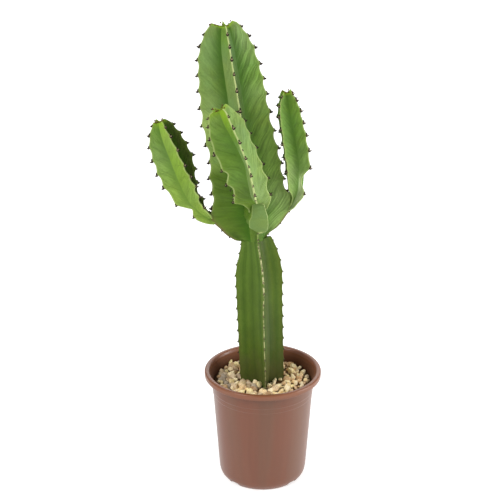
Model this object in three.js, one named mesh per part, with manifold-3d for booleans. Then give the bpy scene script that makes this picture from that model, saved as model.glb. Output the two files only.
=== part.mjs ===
// A candelabra-shaped stem succulent in a plastic nursery pot, in millimetres, +Z up.
// The origin is the middle of the pot's flat underside. -Y is the front, +X is to the right.
import * as THREE from 'three';
import { mergeVertices } from 'three/addons/utils/BufferGeometryUtils.js';
import Module from 'manifold-3d';

const wasm = await Module();
wasm.setup();

// Driving dimensions of the pot
const POT_HEIGHT = 170;
const RIM_RADIUS = 85;
const RIM_INNER_RADIUS = 77.5;
const SKIRT_HEIGHT = 8;
const COLLAR_RADIUS = 74.2;
const COLLAR_FOOT = 142;
const BEAD_FOOT = 134.5;
const WALL_FOOT_RADIUS = 63.7;
const WALL_TAPER = 0.074;
const WALL = 2;
const BASE_ROUND = 15;
const FOOT_RADIUS = 56.5;
const FOOT_WIDTH = 4.5;
const PAD_RADIUS = 40;
const FLOOR_TOP = 6;
const GROOVE_DEPTH = 3.5;
const NOTCH_ANGLES = [-44, 58, 136, 238];
const NOTCH_WIDTH = 9;
const DRAIN_HOLES = 8;
const DRAIN_RADIUS = 3.6;
const POT_SEGMENTS = 40;

// Driving dimensions of the fill
const CLEARANCE = 0.35;
const SOIL_TOP = 138;
const GRAVEL_TOP = 148.5;
const STONE_SPACING = 15;
const STONE_RADIUS = 8.2;
const STONE_SEED = 20417;

// Driving dimensions that all stems share
const SPINE_ROOT = 1;

// Each stem is swept along a path through a few points.
// ribs: compass bearing of each rib in degrees from the front, positive to the right.
// reach: distance from the path to the rib's tooth tips, as [length along the path, distance].
// valley: the same for the furrow between two ribs. edge: half the width of a rib's edge.
// ribReach: the same for one rib by its number, where it differs low down on the stem.
// twist: degrees that the ribs turn for each millimetre above the middle of the stem.
// bareBelow: the length below which a rib has no spines, because an arm grows there.
// teeth: pitch apart, closer together near the tip, none below from except those in low;
// notch is how far the edge draws in between two of them.
// The trunk and the upper stem follow one path and meet at its waist.
const COLUMN = [[-0.5, 0, 96], [-0.8, 0, 150], [-2.4, 0, 205], [-4.2, 0, 262], [-6.5, 0, 324],
  [-10.5, 0, 377], [-17, 0, 436], [-25.5, 0, 493], [-35, 0, 546], [-42, 0, 595], [-48.5, 0, 641],
  [-52.5, 0, 677], [-53.5, 0, 694]];
const WAIST_POINT = 5;
const STEMS = {
  trunk: {
    path: COLUMN,
    lastPoint: WAIST_POINT,
    ribs: [9, 97, 189, 276],
    reach: [[0, 26], [30, 31], [55, 32.5], [190, 34], [230, 33.5], [248, 30], [263, 25.5], [283, 20.5]],
    ribReach: {
      1: [[0, 26], [30, 31], [55, 32.5], [190, 34], [225, 35], [246, 33], [258, 30.5], [272, 26.5],
        [284, 21]],
    },
    valley: [[0, 16], [60, 17.5], [220, 17], [260, 14.5], [283, 12.5]],
    edge: [[0, 1.9], [283, 1.9]],
    teeth: { notch: 1.6, pitch: 17.5, first: 16, growth: 1, top: 8, from: 66 },
    spines: { length: 2, spread: 0 },
  },
  upper_stem: {
    path: COLUMN,
    firstPoint: WAIST_POINT,
    ribs: [10, 99, 190, 279],
    reach: [[0, 21], [6, 31], [14, 40], [26, 50], [38, 59], [52, 58], [66, 53.5], [80, 52], [105, 52],
      [130, 50], [155, 49.5], [180, 49.5], [205, 48], [230, 46], [255, 43.5], [275, 40.5], [292, 35],
      [307, 27], [316, 18.5], [320.5, 11]],
    ribReach: {
      0: [[0, 21], [8, 30], [16, 41], [24, 48], [34, 54], [50, 58.5], [64, 60], [80, 58], [96, 54],
        [112, 51.5]],
      1: [[0, 20], [6, 22], [14, 33.5], [26, 43], [35, 51], [41, 57.5], [52, 57.5], [62, 54],
        [72, 51], [105, 51], [130, 50]],
      3: [[0, 21], [2, 28], [6, 33.5], [14, 42], [23, 48], [30, 53.5], [39, 60], [52, 58.5], [66, 56],
        [80, 54.5], [104, 54.5], [118, 52.5], [130, 50]],
    },
    valley: [[0, 12.5], [20, 15.5], [60, 16], [200, 14], [280, 12.5], [305, 9], [315, 7], [320.5, 4]],
    edge: [[0, 3], [10, 6], [22, 10], [36, 12], [52, 10.5], [66, 6.5], [80, 2], [96, 1.7], [320, 1.2]],
    teeth: { notch: 4.6, pitch: 25, first: 11, growth: 3.5, top: 4, from: 62 },
    spines: { length: 3.6, spread: 2.4 },
    bareBelow: { 0: 92 },
  },
  arm_left: {
    path: [[-66, -8, 407], [-78, -9, 416], [-93, -10.5, 429], [-105, -12, 444], [-115, -13, 469],
      [-121.5, -14, 490], [-128, -15, 510], [-135, -15, 529], [-140, -15, 545], [-143.5, -15, 559]],
    ribs: [33, 116, 208, 294],
    reach: [[0, 10], [11, 13], [30, 14], [37, 9.5], [45, 14.5], [55, 20.5], [84, 27], [105, 29.5],
      [126, 29], [146, 26], [160, 20.5], [171, 13], [176, 6]],
    ribReach: {
      1: [[0, 6], [13, 6], [34, 15.5], [44, 18], [67, 23], [89, 28], [110, 30.5], [129, 28.5],
        [147, 26], [163, 20], [172, 11.5], [176, 6]],
    },
    valley: [[0, 6.5], [36, 7], [80, 9.5], [140, 9], [165, 6], [176, 3]],
    edge: [[0, 2.6], [20, 1.6], [176, 1.2]],
    teeth: { notch: 4.6, pitch: 22, first: 11, growth: 3.5, top: 5, from: 45, low: [30] },
    spines: { length: 3.6, spread: 2.4 },
  },
  arm_front: {
    path: [[-7, -50, 438], [-9, -60, 448], [-12.5, -70, 460], [-18.5, -79, 480], [-25.5, -84, 502],
      [-32, -87, 523.5], [-41, -89, 545], [-48, -90, 564], [-55, -90, 583], [-60.5, -90, 603]],
    ribs: [25, 114, 207, 297],
    twist: 0.14,
    reach: [[0, 14], [23, 24], [40, 28], [58, 30.5], [87, 30.5], [107, 31], [129, 31.5], [150, 30],
      [168, 24], [178, 19.5], [184, 11]],
    ribReach: {
      0: [[0, 6], [24, 8], [34, 14], [44, 21], [61, 24], [89, 25.5], [113, 28], [137, 28.5], [156, 26],
        [168, 23.5], [178, 19.5], [184, 11]],
      3: [[0, 14], [14, 12], [24, 13], [34, 19], [44, 25], [67, 26], [90, 27.5], [113, 28.5],
        [134, 29.5], [150, 33.5], [160, 29.5], [168, 25], [178, 20], [184, 11]],
    },
    valley: [[0, 7], [30, 9], [60, 10.5], [110, 10.5], [150, 9.5], [174, 7], [184, 4]],
    edge: [[0, 4], [30, 2.4], [50, 1.6], [184, 1.2]],
    teeth: { notch: 5, pitch: 23, first: 11, growth: 3.5, top: 6, from: 26 },
    spines: { length: 3.6, spread: 2.4 },
  },
  arm_right: {
    path: [[35, 6.6, 417.5], [42.6, 8, 433], [47.5, 9, 452], [48.5, 10, 474], [47.5, 10, 498],
      [43.5, 10, 523], [38.5, 10, 548], [35, 10, 570], [33, 10, 584], [32.3, 10, 593]],
    ribs: [-40, 50, 140, 230],
    reach: [[0, 8], [16, 9], [32, 15], [45, 8.5], [58, 15], [70, 22.5], [97, 23.5], [117, 24],
      [136, 23], [155, 21], [166, 17.5], [174, 12.5], [179, 7]],
    ribReach: {
      3: [[0, 9], [16, 10], [28, 13.5], [52, 24], [79, 28.5], [100, 28], [119, 27.5], [141, 26.5],
        [157, 22], [167, 17], [175, 11], [179, 7]],
    },
    valley: [[0, 8], [38, 8], [110, 8.5], [150, 7.5], [168, 5], [179, 2.5]],
    edge: [[0, 3], [20, 1.6], [179, 1.2]],
    teeth: { notch: 4, pitch: 22, first: 11, growth: 3.5, top: 5, from: 62, low: [32] },
    spines: { length: 3.6, spread: 2.4 },
  },
};

// Colours, roughness and metalness seen in the photograph
const FINISHES = {
  pot: { color: 0x8e6250, roughness: 0.42, metalness: 0 },
  soil: { color: 0x2f2010, roughness: 0.95, metalness: 0 },
  gravel: { color: 0xd2bd92, roughness: 0.85, metalness: 0 },
  trunk: { color: 0x4e6f26, roughness: 0.6, metalness: 0 },
  upper_stem: { color: 0x6f9a4a, roughness: 0.5, metalness: 0 },
  arm_left: { color: 0x7ba352, roughness: 0.5, metalness: 0 },
  arm_front: { color: 0x83ab5c, roughness: 0.5, metalness: 0 },
  arm_right: { color: 0x78a64a, roughness: 0.5, metalness: 0 },
};

// A repeatable random number between 0 and 1
function makeRandom(seed) {
  let state = seed;
  return () => {
    state = (state + 0x6d2b79f5) | 0;
    let mixed = Math.imul(state ^ (state >>> 15), 1 | state);
    mixed = (mixed + Math.imul(mixed ^ (mixed >>> 7), 61 | mixed)) ^ mixed;
    return ((mixed ^ (mixed >>> 14)) >>> 0) / 4294967296;
  };
}

// Solids and meshes
function solidOf(vertices, triangles) {
  return new wasm.Manifold(new wasm.Mesh({
    numProp: 3,
    vertProperties: new Float32Array(vertices),
    triVerts: new Uint32Array(triangles),
  }));
}

function solidOfGeometry(geometry) {
  const bare = geometry.clone();
  bare.deleteAttribute('normal');
  bare.deleteAttribute('uv');
  const merged = mergeVertices(bare, 1e-4);
  return solidOf(merged.attributes.position.array, merged.index.array);
}

function meshOf(name, solid) {
  const { vertProperties, triVerts } = solid.getMesh();
  const geometry = new THREE.BufferGeometry();
  geometry.setAttribute('position', new THREE.BufferAttribute(new Float32Array(vertProperties), 3));
  geometry.setIndex(new THREE.BufferAttribute(new Uint32Array(triVerts), 1));
  geometry.computeVertexNormals();
  const mesh = new THREE.Mesh(geometry, new THREE.MeshStandardMaterial(FINISHES[name]));
  mesh.name = name;
  return mesh;
}

function largestPiece(solid) {
  return solid.decompose().reduce((a, b) => (a.volume() > b.volume() ? a : b));
}

// A profile turned round the pot's axis, with its points running up the outside
function turned(profile) {
  const points = profile.map(([radius, height]) => new THREE.Vector2(radius, height));
  const geometry = new THREE.LatheGeometry(points, POT_SEGMENTS);
  geometry.rotateX(Math.PI / 2);
  return solidOfGeometry(geometry);
}

// A smooth curve through a list of [position, value] pairs
function along(list, at) {
  const last = list.length - 1;
  if (at <= list[0][0]) return list[0][1];
  if (at >= list[last][0]) return list[last][1];
  let i = 0;
  while (at > list[i + 1][0]) i += 1;
  const slope = (k) => {
    const a = list[Math.max(k - 1, 0)];
    const b = list[Math.min(k + 1, last)];
    return (b[1] - a[1]) / (b[0] - a[0]);
  };
  const span = list[i + 1][0] - list[i][0];
  const f = (at - list[i][0]) / span;
  const f2 = f * f;
  const f3 = f2 * f;
  return (2 * f3 - 3 * f2 + 1) * list[i][1] + (f3 - 2 * f2 + f) * span * slope(i)
    + (3 * f2 - 2 * f3) * list[i + 1][1] + (f3 - f2) * span * slope(i + 1);
}

// The path of a stem between two of its points, read by the length travelled along it
const PATH_STEPS = 240;

function makePath(stem) {
  const nodes = stem.path.map((p) => new THREE.Vector3(...p));
  const curve = new THREE.CatmullRomCurve3(nodes, false, 'catmullrom', 0.5);
  curve.arcLengthDivisions = PATH_STEPS;
  const total = curve.getLength();
  const lengths = curve.getLengths(PATH_STEPS);
  const lengthTo = (point) => lengths[Math.round((point * PATH_STEPS) / (nodes.length - 1))];
  const start = stem.firstPoint ? lengthTo(stem.firstPoint) + CLEARANCE / 2 : 0;
  const end = stem.lastPoint ? lengthTo(stem.lastPoint) - CLEARANCE / 2 : total;
  return {
    length: end - start,
    frameAt(s) {
      const u = Math.min(Math.max((start + s) / total, 0), 1);
      const centre = curve.getPointAt(u);
      const up = curve.getTangentAt(u).normalize();
      const front = new THREE.Vector3(0, -1, 0);
      front.addScaledVector(up, -front.dot(up)).normalize();
      const right = up.clone().cross(front).normalize();
      return { centre, up, front, right };
    },
  };
}

// Lengths along the path at which the teeth stand
function toothPlaces(stem, length) {
  const { top, first, growth, pitch, from, low = [] } = stem.teeth;
  const places = [];
  let step = first;
  for (let s = length - top; s > from; s -= Math.min(step, pitch), step += growth) places.unshift(s);
  return [...low, ...places];
}

// Distance of one rib's teeth from the path, and the rib's bearing
function reachAt(stem, rib, s) {
  const own = stem.ribReach?.[rib];
  return along(own && s < own[own.length - 1][0] ? own : stem.reach, s);
}

function bearingAt(stem, rib, s) {
  const middle = stem.reach[stem.reach.length - 1][0] / 2;
  return THREE.MathUtils.degToRad(stem.ribs[rib] + (stem.twist ?? 0) * (s - middle));
}

const RIB_POINTS = 5;
const FLANK_PLACE = 0.42;
const FLANK_HOLLOW = 1.75;

// One cross-section: for each rib its two edge corners, its two flank points and a furrow
function ringAt(stem, frame, s, drawIn, room) {
  const count = stem.ribs.length;
  const bearings = stem.ribs.map((_, rib) => bearingAt(stem, rib, s));
  const valley = along(stem.valley, s) + room;
  const half = Math.min(along(stem.edge, s) + room, valley * 0.75);
  const points = [];
  const put = (bearing, out, across) => {
    points.push(frame.centre.clone()
      .addScaledVector(frame.front, Math.cos(bearing) * out - Math.sin(bearing) * across)
      .addScaledVector(frame.right, Math.sin(bearing) * out + Math.cos(bearing) * across));
  };
  bearings.forEach((bearing, rib) => {
    const next = bearings[(rib + 1) % count] + (rib + 1 === count ? 2 * Math.PI : 0);
    const before = bearings[(rib + count - 1) % count] - (rib === 0 ? 2 * Math.PI : 0);
    const reach = Math.max(reachAt(stem, rib, s) - drawIn + room, valley * 0.9);
    const flank = (halfAngle, sign) => {
      const furrowOut = valley * Math.cos(halfAngle);
      const furrowAcross = valley * Math.sin(halfAngle);
      const out = furrowOut + (reach - furrowOut) * FLANK_PLACE;
      const across = half + (furrowAcross - half) * (1 - FLANK_PLACE) ** FLANK_HOLLOW;
      put(bearing, out, sign * across);
    };
    flank((bearing - before) / 2, -1);
    put(bearing, reach, -half);
    put(bearing, reach, half);
    flank((next - bearing) / 2, 1);
    put((bearing + next) / 2, valley, 0);
  });
  return points;
}

// Rings joined into one closed skin with a flat cap on each end. Where a ring carries spine tips,
// the rib edges above it are raised into them: two three-sided spines, or one with four sides.
function skinOf(rings) {
  const vertices = [];
  const triangles = [];
  const count = rings[0].points.length;
  const addPoint = (p) => {
    vertices.push(p.x, p.y, p.z);
    return vertices.length / 3 - 1;
  };
  const raise = (outline, tip) => {
    const top = addPoint(tip);
    outline.forEach((a, k) => triangles.push(a, outline[(k + 1) % outline.length], top));
  };
  rings.forEach((ring) => ring.points.forEach(addPoint));
  for (let j = 0; j + 1 < rings.length; j += 1) {
    for (let k = 0; k < count; k += 1) {
      const a = j * count + k;
      const b = j * count + (k + 1) % count;
      const tips = k % RIB_POINTS === 1 ? rings[j].tips?.[(k - 1) / RIB_POINTS] : undefined;
      if (!tips) {
        triangles.push(a, b, b + count, a, b + count, a + count);
      } else if (tips.length === 1) {
        raise([a, b, b + count, a + count], tips[0]);
      } else {
        raise([a, b, b + count], tips[1]);
        raise([a, b + count, a + count], tips[0]);
      }
    }
  }
  const cap = (start, points, flip) => {
    const middle = points.reduce((sum, p) => sum.add(p), new THREE.Vector3()).divideScalar(count);
    const hub = addPoint(middle);
    for (let k = 0; k < count; k += 1) {
      const a = start + k;
      const b = start + (k + 1) % count;
      triangles.push(...(flip ? [hub, b, a] : [hub, a, b]));
    }
  };
  cap(0, rings[0].points, true);
  cap((rings.length - 1) * count, rings[rings.length - 1].points, false);
  return solidOf(vertices, triangles);
}

// The spine tips of one tooth on every rib that is not bare there
function tipsAt(stem, frame, s) {
  const { length, spread } = stem.spines;
  return stem.ribs.map((_, rib) => {
    if (s < (stem.bareBelow?.[rib] ?? 0)) return undefined;
    const bearing = bearingAt(stem, rib, s);
    const out = reachAt(stem, rib, s) + length;
    return (spread > 0 ? [-spread, spread] : [0]).map((across) => frame.centre.clone()
      .addScaledVector(frame.front, Math.cos(bearing) * out - Math.sin(bearing) * across)
      .addScaledVector(frame.right, Math.sin(bearing) * out + Math.cos(bearing) * across));
  });
}

// Where the cross-sections stand: below the first tooth, on both sides of each tooth's spines,
// and in the notch between two teeth
function sectionsOf(stem, length) {
  const { notch, pitch, from } = stem.teeth;
  const places = toothPlaces(stem, length);
  const nearTooth = (s) => places.some((place) => Math.abs(place - s) < 3);
  const sections = stem.reach.map(([s]) => s)
    .filter((s) => s > 1 && s < from && !nearTooth(s))
    .map((s) => ({ s }));
  places.forEach((place, i) => {
    sections.push({ s: place - SPINE_ROOT, tooth: place }, { s: place + SPINE_ROOT });
    const above = places[i + 1];
    if (above && place > from) {
      sections.push({ s: (place + above) / 2, drawIn: notch * Math.min(1, (above - place) / pitch) });
    }
  });
  return sections.sort((a, b) => a.s - b.s);
}

// A stem with its ribs, teeth and spines, or, let out by room on every side, its bare body
function stemSolid(stem, room = 0) {
  const path = makePath(stem);
  const ringOf = ({ s, drawIn = 0, beyond = 0, tooth }) => {
    const frame = path.frameAt(s);
    frame.centre.addScaledVector(frame.up, beyond);
    const tips = tooth && room === 0 ? tipsAt(stem, path.frameAt(tooth), tooth) : undefined;
    return { points: ringAt(stem, frame, s, drawIn, room), tips };
  };
  return skinOf([
    { s: 0, beyond: -room }, ...sectionsOf(stem, path.length), { s: path.length, beyond: room },
  ].map(ringOf));
}

// The pot, as one turned shell with a rolled rim, then its notches and drain holes
function wallRadius(height) {
  return WALL_FOOT_RADIUS + WALL_TAPER * (height - BASE_ROUND);
}

function makePot() {
  const skirtFoot = POT_HEIGHT - SKIRT_HEIGHT;
  const outside = [
    [0, 0], [PAD_RADIUS, 0], [PAD_RADIUS + 1.5, GROOVE_DEPTH],
    [FOOT_RADIUS - FOOT_WIDTH - 1.5, GROOVE_DEPTH], [FOOT_RADIUS - FOOT_WIDTH, 0],
    [FOOT_RADIUS, 0], [FOOT_RADIUS + 3.6, 4], [WALL_FOOT_RADIUS - 1.1, 9], [WALL_FOOT_RADIUS, BASE_ROUND],
    [wallRadius(BEAD_FOOT), BEAD_FOOT], [wallRadius(BEAD_FOOT) + 0.5, BEAD_FOOT + 0.8],
    [wallRadius(COLLAR_FOOT) + 0.2, COLLAR_FOOT], [COLLAR_RADIUS - 0.2, COLLAR_FOOT + 1],
    [COLLAR_RADIUS, skirtFoot - 1], [COLLAR_RADIUS + 2.6, POT_HEIGHT - 3.6],
    [RIM_RADIUS - WALL, POT_HEIGHT - 3.6], [RIM_RADIUS - WALL, skirtFoot],
    [RIM_RADIUS - 0.4, skirtFoot], [RIM_RADIUS, skirtFoot + 1.2], [RIM_RADIUS, POT_HEIGHT - 1.8],
    [RIM_RADIUS - 1, POT_HEIGHT - 0.4], [RIM_RADIUS - 3.4, POT_HEIGHT],
  ];
  const inside = [
    [RIM_INNER_RADIUS + 0.7, POT_HEIGHT - 0.5], [RIM_INNER_RADIUS - 1, POT_HEIGHT - 3],
    [COLLAR_RADIUS - WALL, POT_HEIGHT - 11], [wallRadius(COLLAR_FOOT) - WALL, COLLAR_FOOT],
    [WALL_FOOT_RADIUS - WALL, BASE_ROUND + 1], [FOOT_RADIUS + 1, FLOOR_TOP], [0, FLOOR_TOP],
  ];
  let pot = turned([...outside, ...inside]);
  const cuts = [];
  NOTCH_ANGLES.forEach((degrees) => {
    const notch = new THREE.CylinderGeometry(NOTCH_WIDTH / 2, NOTCH_WIDTH / 2, 16, 12);
    notch.scale(1, 1, 0.7);
    notch.translate(0, FOOT_RADIUS + 1, 0);
    notch.rotateZ(Math.PI + THREE.MathUtils.degToRad(degrees));
    cuts.push(solidOfGeometry(notch));
  });
  for (let k = 0; k < DRAIN_HOLES; k += 1) {
    const hole = new THREE.CylinderGeometry(DRAIN_RADIUS, DRAIN_RADIUS, 3 * FLOOR_TOP, 10);
    hole.rotateX(Math.PI / 2);
    hole.translate((PAD_RADIUS + FOOT_RADIUS - FOOT_WIDTH) / 2, 0, 0);
    hole.rotateZ((k * 2 * Math.PI) / DRAIN_HOLES);
    cuts.push(solidOfGeometry(hole));
  }
  pot = pot.subtract(wasm.Manifold.union(cuts));
  return pot;
}

// The space inside the pot between two heights, clear of the wall
function cavity(bottom, top) {
  const inner = (height) => wallRadius(height) - WALL - CLEARANCE;
  const low = bottom > BASE_ROUND + 1
    ? [[0, bottom], [inner(bottom), bottom]]
    : [[0, bottom], [FOOT_RADIUS + 0.5, bottom], [inner(BASE_ROUND + 1), BASE_ROUND + 1.5]];
  return turned([...low, [inner(top), top], [0, top]]);
}

// A bed of stones that covers the soil from the wall to the trunk
function makeGravel(trunkHole) {
  const random = makeRandom(STONE_SEED);
  const jitter = (amount) => (random() - 0.5) * 2 * amount;
  const bedRadius = wallRadius(GRAVEL_TOP) - WALL - CLEARANCE;
  const parts = [cavity(SOIL_TOP + CLEARANCE, GRAVEL_TOP)];
  const total = Math.round((Math.PI * bedRadius ** 2) / (STONE_SPACING ** 2 * 0.866));
  const golden = Math.PI * (3 - Math.sqrt(5));
  for (let k = 0; k < total; k += 1) {
    const radius = (bedRadius - STONE_RADIUS * 0.55) * Math.sqrt((k + 0.5) / total);
    const angle = k * golden;
    const stone = new THREE.IcosahedronGeometry(STONE_RADIUS, 0);
    stone.deleteAttribute('normal');
    stone.deleteAttribute('uv');
    const merged = mergeVertices(stone, 1e-4);
    const place = merged.attributes.position;
    for (let i = 0; i < place.count; i += 1) {
      const swell = 1 + jitter(0.16);
      place.setXYZ(i, place.getX(i) * swell, place.getY(i) * swell, place.getZ(i) * swell);
    }
    merged.scale(1 + jitter(0.2), 1 + jitter(0.2), 0.78 + jitter(0.12));
    merged.rotateX(jitter(0.35));
    merged.rotateZ(random() * 2 * Math.PI);
    merged.translate(
      radius * Math.cos(angle) + jitter(1.5),
      radius * Math.sin(angle) + jitter(1.5),
      GRAVEL_TOP + jitter(1.6),
    );
    if (radius > STONE_SPACING * 1.2) parts.push(solidOf(place.array, merged.index.array));
  }
  const heap = wasm.Manifold.union(parts);
  const inPot = heap.intersect(cavity(SOIL_TOP + CLEARANCE, POT_HEIGHT - 11));
  return largestPiece(inPot.subtract(trunkHole));
}

// Each arm stands clear of the stem that it grows from
const GROWS_FROM = { arm_left: 'upper_stem', arm_front: 'upper_stem', arm_right: 'upper_stem' };

function makeStem(name) {
  const whole = stemSolid(STEMS[name]);
  const parent = STEMS[GROWS_FROM[name]];
  return parent ? largestPiece(whole.subtract(stemSolid(parent, CLEARANCE))) : whole;
}

const trunkHole = stemSolid(STEMS.trunk, CLEARANCE);
const soilPlug = cavity(FLOOR_TOP + CLEARANCE, SOIL_TOP).subtract(trunkHole);

const plant = new THREE.Group();
plant.add(
  meshOf('pot', makePot()),
  meshOf('soil', largestPiece(soilPlug)),
  meshOf('gravel', makeGravel(trunkHole)),
  ...Object.keys(STEMS).map((name) => meshOf(name, makeStem(name))),
);

export default plant;
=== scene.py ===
# %% [markdown]
# # A candelabra succulent in a nursery pot
#
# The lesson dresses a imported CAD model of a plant: a trunk, an upper stem with three arms, a bed of
# gravel and a plastic pot. The CAD solids say where everything stands. All of them but the soil are
# replaced here by finer pieces of the same form, in metres, with +Z up and -Y towards the viewer.

# %% Load the frame
import math

import bpy
import numpy as np
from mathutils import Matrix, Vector


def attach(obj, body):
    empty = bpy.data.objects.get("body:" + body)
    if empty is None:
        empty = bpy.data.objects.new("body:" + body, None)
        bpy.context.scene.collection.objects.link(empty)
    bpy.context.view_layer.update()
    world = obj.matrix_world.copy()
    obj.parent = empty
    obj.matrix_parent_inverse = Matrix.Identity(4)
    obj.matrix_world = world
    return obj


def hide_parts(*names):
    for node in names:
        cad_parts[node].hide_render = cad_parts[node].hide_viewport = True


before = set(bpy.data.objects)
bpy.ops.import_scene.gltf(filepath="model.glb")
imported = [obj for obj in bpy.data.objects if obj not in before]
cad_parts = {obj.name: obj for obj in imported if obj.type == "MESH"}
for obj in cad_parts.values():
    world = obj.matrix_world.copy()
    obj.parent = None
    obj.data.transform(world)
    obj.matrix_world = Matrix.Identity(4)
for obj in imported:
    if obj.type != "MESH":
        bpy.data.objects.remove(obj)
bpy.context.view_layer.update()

MM = 0.001
scene = bpy.context.scene
print("nodes of the frame:", sorted(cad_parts))

# %% [markdown]
# ## Camera
#
# A product photograph from a little over two metres away, looking down on the plant. The distance
# and the tilt come from how round the pot's rim and foot look, so the camera is placed and then left
# alone. A long lens keeps the pot's sides nearly parallel.

# %% Camera
SENSOR = 36.0
LENS = 132.68
CAMERA_PLACE = (-18.65 * MM, -2400 * MM, 1398 * MM)
CAMERA_TILT = 90 - 23.40


def make_camera():
    data = bpy.data.cameras.new("camera")
    data.sensor_width = SENSOR
    data.lens = LENS
    data.clip_end = 50
    camera = bpy.data.objects.new("camera", data)
    camera.location = CAMERA_PLACE
    camera.rotation_euler = (math.radians(CAMERA_TILT), 0, 0)
    scene.collection.objects.link(camera)
    scene.camera = camera


make_camera()

# %% [markdown]
# ## Node trees as Python
#
# A node tree is easiest to read as a formula. `Signal` wraps one output socket, and its operators add
# Math nodes, so `1 - mask * 0.5` builds the tree that it says. `Tree` adds any other node from its
# type, its settings and its inputs. Materials and Geometry Nodes share both.

# %% Signals and trees
class Signal:
    """One number, colour, vector or geometry that flows through a node tree."""

    def __init__(self, tree, socket):
        self.tree = tree
        self.socket = socket

    def __add__(self, other):
        return self.tree.maths("ADD", self, other)

    def __radd__(self, other):
        return self.tree.maths("ADD", other, self)

    def __sub__(self, other):
        return self.tree.maths("SUBTRACT", self, other)

    def __rsub__(self, other):
        return self.tree.maths("SUBTRACT", other, self)

    def __mul__(self, other):
        return self.tree.maths("MULTIPLY", self, other)

    def __rmul__(self, other):
        return self.tree.maths("MULTIPLY", other, self)

    def __truediv__(self, other):
        return self.tree.maths("DIVIDE", self, other)

    def __rtruediv__(self, other):
        return self.tree.maths("DIVIDE", other, self)

    def wave(self):
        """A sine of this phase, from 0 to 1."""
        return self.tree.maths("SINE", self) * 0.5 + 0.5

    def rise(self, low, high):
        """0 below low and 1 above high, with a soft step between them."""
        inputs = {"Value": self, "From Min": low, "From Max": high}
        return self.tree.node("ShaderNodeMapRange", {"interpolation_type": "SMOOTHSTEP"}, inputs)

    def part(self, axis):
        """The X, Y or Z of this vector."""
        return self.tree.node("ShaderNodeSeparateXYZ", None, {0: self}, axis)

    def vector_maths(self, operation, other):
        return self.tree.node("ShaderNodeVectorMath", {"operation": operation}, {0: self, 1: other})

    def dimmed(self, amount):
        """This colour or vector times a number."""
        inputs = {0: self, "Scale": amount}
        return self.tree.node("ShaderNodeVectorMath", {"operation": "SCALE"}, inputs)


class Tree:
    """A node tree under construction."""

    def __init__(self, node_tree):
        self.node_tree = node_tree

    def find(self, sockets, key):
        """The socket in use that has this name, or this number."""
        if isinstance(key, int):
            return sockets[key]
        return next(s for s in sockets if s.name == key and s.enabled)

    def add(self, kind, settings=None, inputs=None):
        made = self.node_tree.nodes.new(kind)
        for key, value in (settings or {}).items():
            setattr(made, key, value)
        for key, value in (inputs or {}).items():
            for one in value if isinstance(value, list) else [value]:
                if isinstance(one, Signal):
                    self.node_tree.links.new(one.socket, self.find(made.inputs, key))
                else:
                    self.find(made.inputs, key).default_value = one
        return made

    def node(self, kind, settings=None, inputs=None, output=None):
        """Adds a node and gives its first output in use, or the named one."""
        made = self.add(kind, settings, inputs)
        if output is None:
            return Signal(self, next(s for s in made.outputs if s.enabled))
        return Signal(self, self.find(made.outputs, output))

    def maths(self, operation, *values):
        return self.node("ShaderNodeMath", {"operation": operation}, dict(enumerate(values)))

    def vector(self, x, y, z):
        return self.node("ShaderNodeCombineXYZ", None, {0: x, 1: y, 2: z})


# %% [markdown]
# ## Paints
#
# A `Paint` is the tree of one material. Its methods are the few patterns that every finish here is
# mixed from: the place on the object, numbers stored on the mesh, noise, and coats of colour, of which
# each lies over the one before.

# %% Paints
def tone(hex_code):
    """A colour as it looks on a screen, turned into the linear values that a shader wants."""
    parts = [int(hex_code[k:k + 2], 16) / 255 for k in (0, 2, 4)]
    linear = [((p + 0.055) / 1.055) ** 2.4 if p > 0.04045 else p / 12.92 for p in parts]
    return (*linear, 1.0)


class Paint(Tree):
    """One material, built by calls that each add a node."""

    def __init__(self, name):
        self.material = bpy.data.materials.new(name)
        self.material.use_nodes = True
        super().__init__(self.material.node_tree)
        self.node_tree.nodes.clear()

    def place(self):
        return self.node("ShaderNodeTexCoord", output="Object")

    def stored(self, name, output="Fac"):
        """A number stored on the mesh under that name, or with output="Color" a colour."""
        return self.node("ShaderNodeAttribute", {"attribute_name": name}, output=output)

    def noise(self, scale, detail=3.0, at=None):
        inputs = {"Vector": at or self.place(), "Scale": scale, "Detail": detail, "Roughness": 0.55}
        return self.node("ShaderNodeTexNoise", {"noise_dimensions": "3D"}, inputs)

    def mix(self, amount, first, second):
        """Two colours mixed: first where amount is 0, second where it is 1."""
        settings = {"data_type": "RGBA", "clamp_factor": True}
        return self.node("ShaderNodeMix", settings, {"Factor": amount, "A": first, "B": second})

    def coats(self, colour, *coats):
        """Lays tones over a colour, each with its own strength from 0 to 1."""
        for amount, hex_code in coats:
            colour = self.mix(amount, colour, tone(hex_code))
        return colour

    def ramp(self, at, stops, interpolation="LINEAR"):
        """The colour between (place, tone) stops at a number."""
        made = self.add("ShaderNodeValToRGB")
        ramp = made.color_ramp
        ramp.interpolation = interpolation
        while len(ramp.elements) < len(stops):
            ramp.elements.new(0.5)
        for element, (place, hex_code) in zip(ramp.elements, stops):
            element.position = place
            element.color = tone(hex_code)
        self.node_tree.links.new(at.socket, made.inputs["Fac"])
        return Signal(self, made.outputs["Color"])

    def finish(self, colour, roughness, specular, relief=None, fixed=None):
        """Ends the tree in a Principled shader. relief is the height of the surface in metres."""
        inputs = {"Base Color": colour, "Roughness": roughness, "Specular IOR Level": specular,
                  **(fixed or {})}
        if relief is not None:
            bump = {"Strength": 1.0, "Distance": 1.0, "Height": relief}
            inputs["Normal"] = self.node("ShaderNodeBump", None, bump)
        shader = self.node("ShaderNodeBsdfPrincipled", None, inputs)
        self.add("ShaderNodeOutputMaterial", None, {"Surface": shader})
        return self.material
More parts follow.
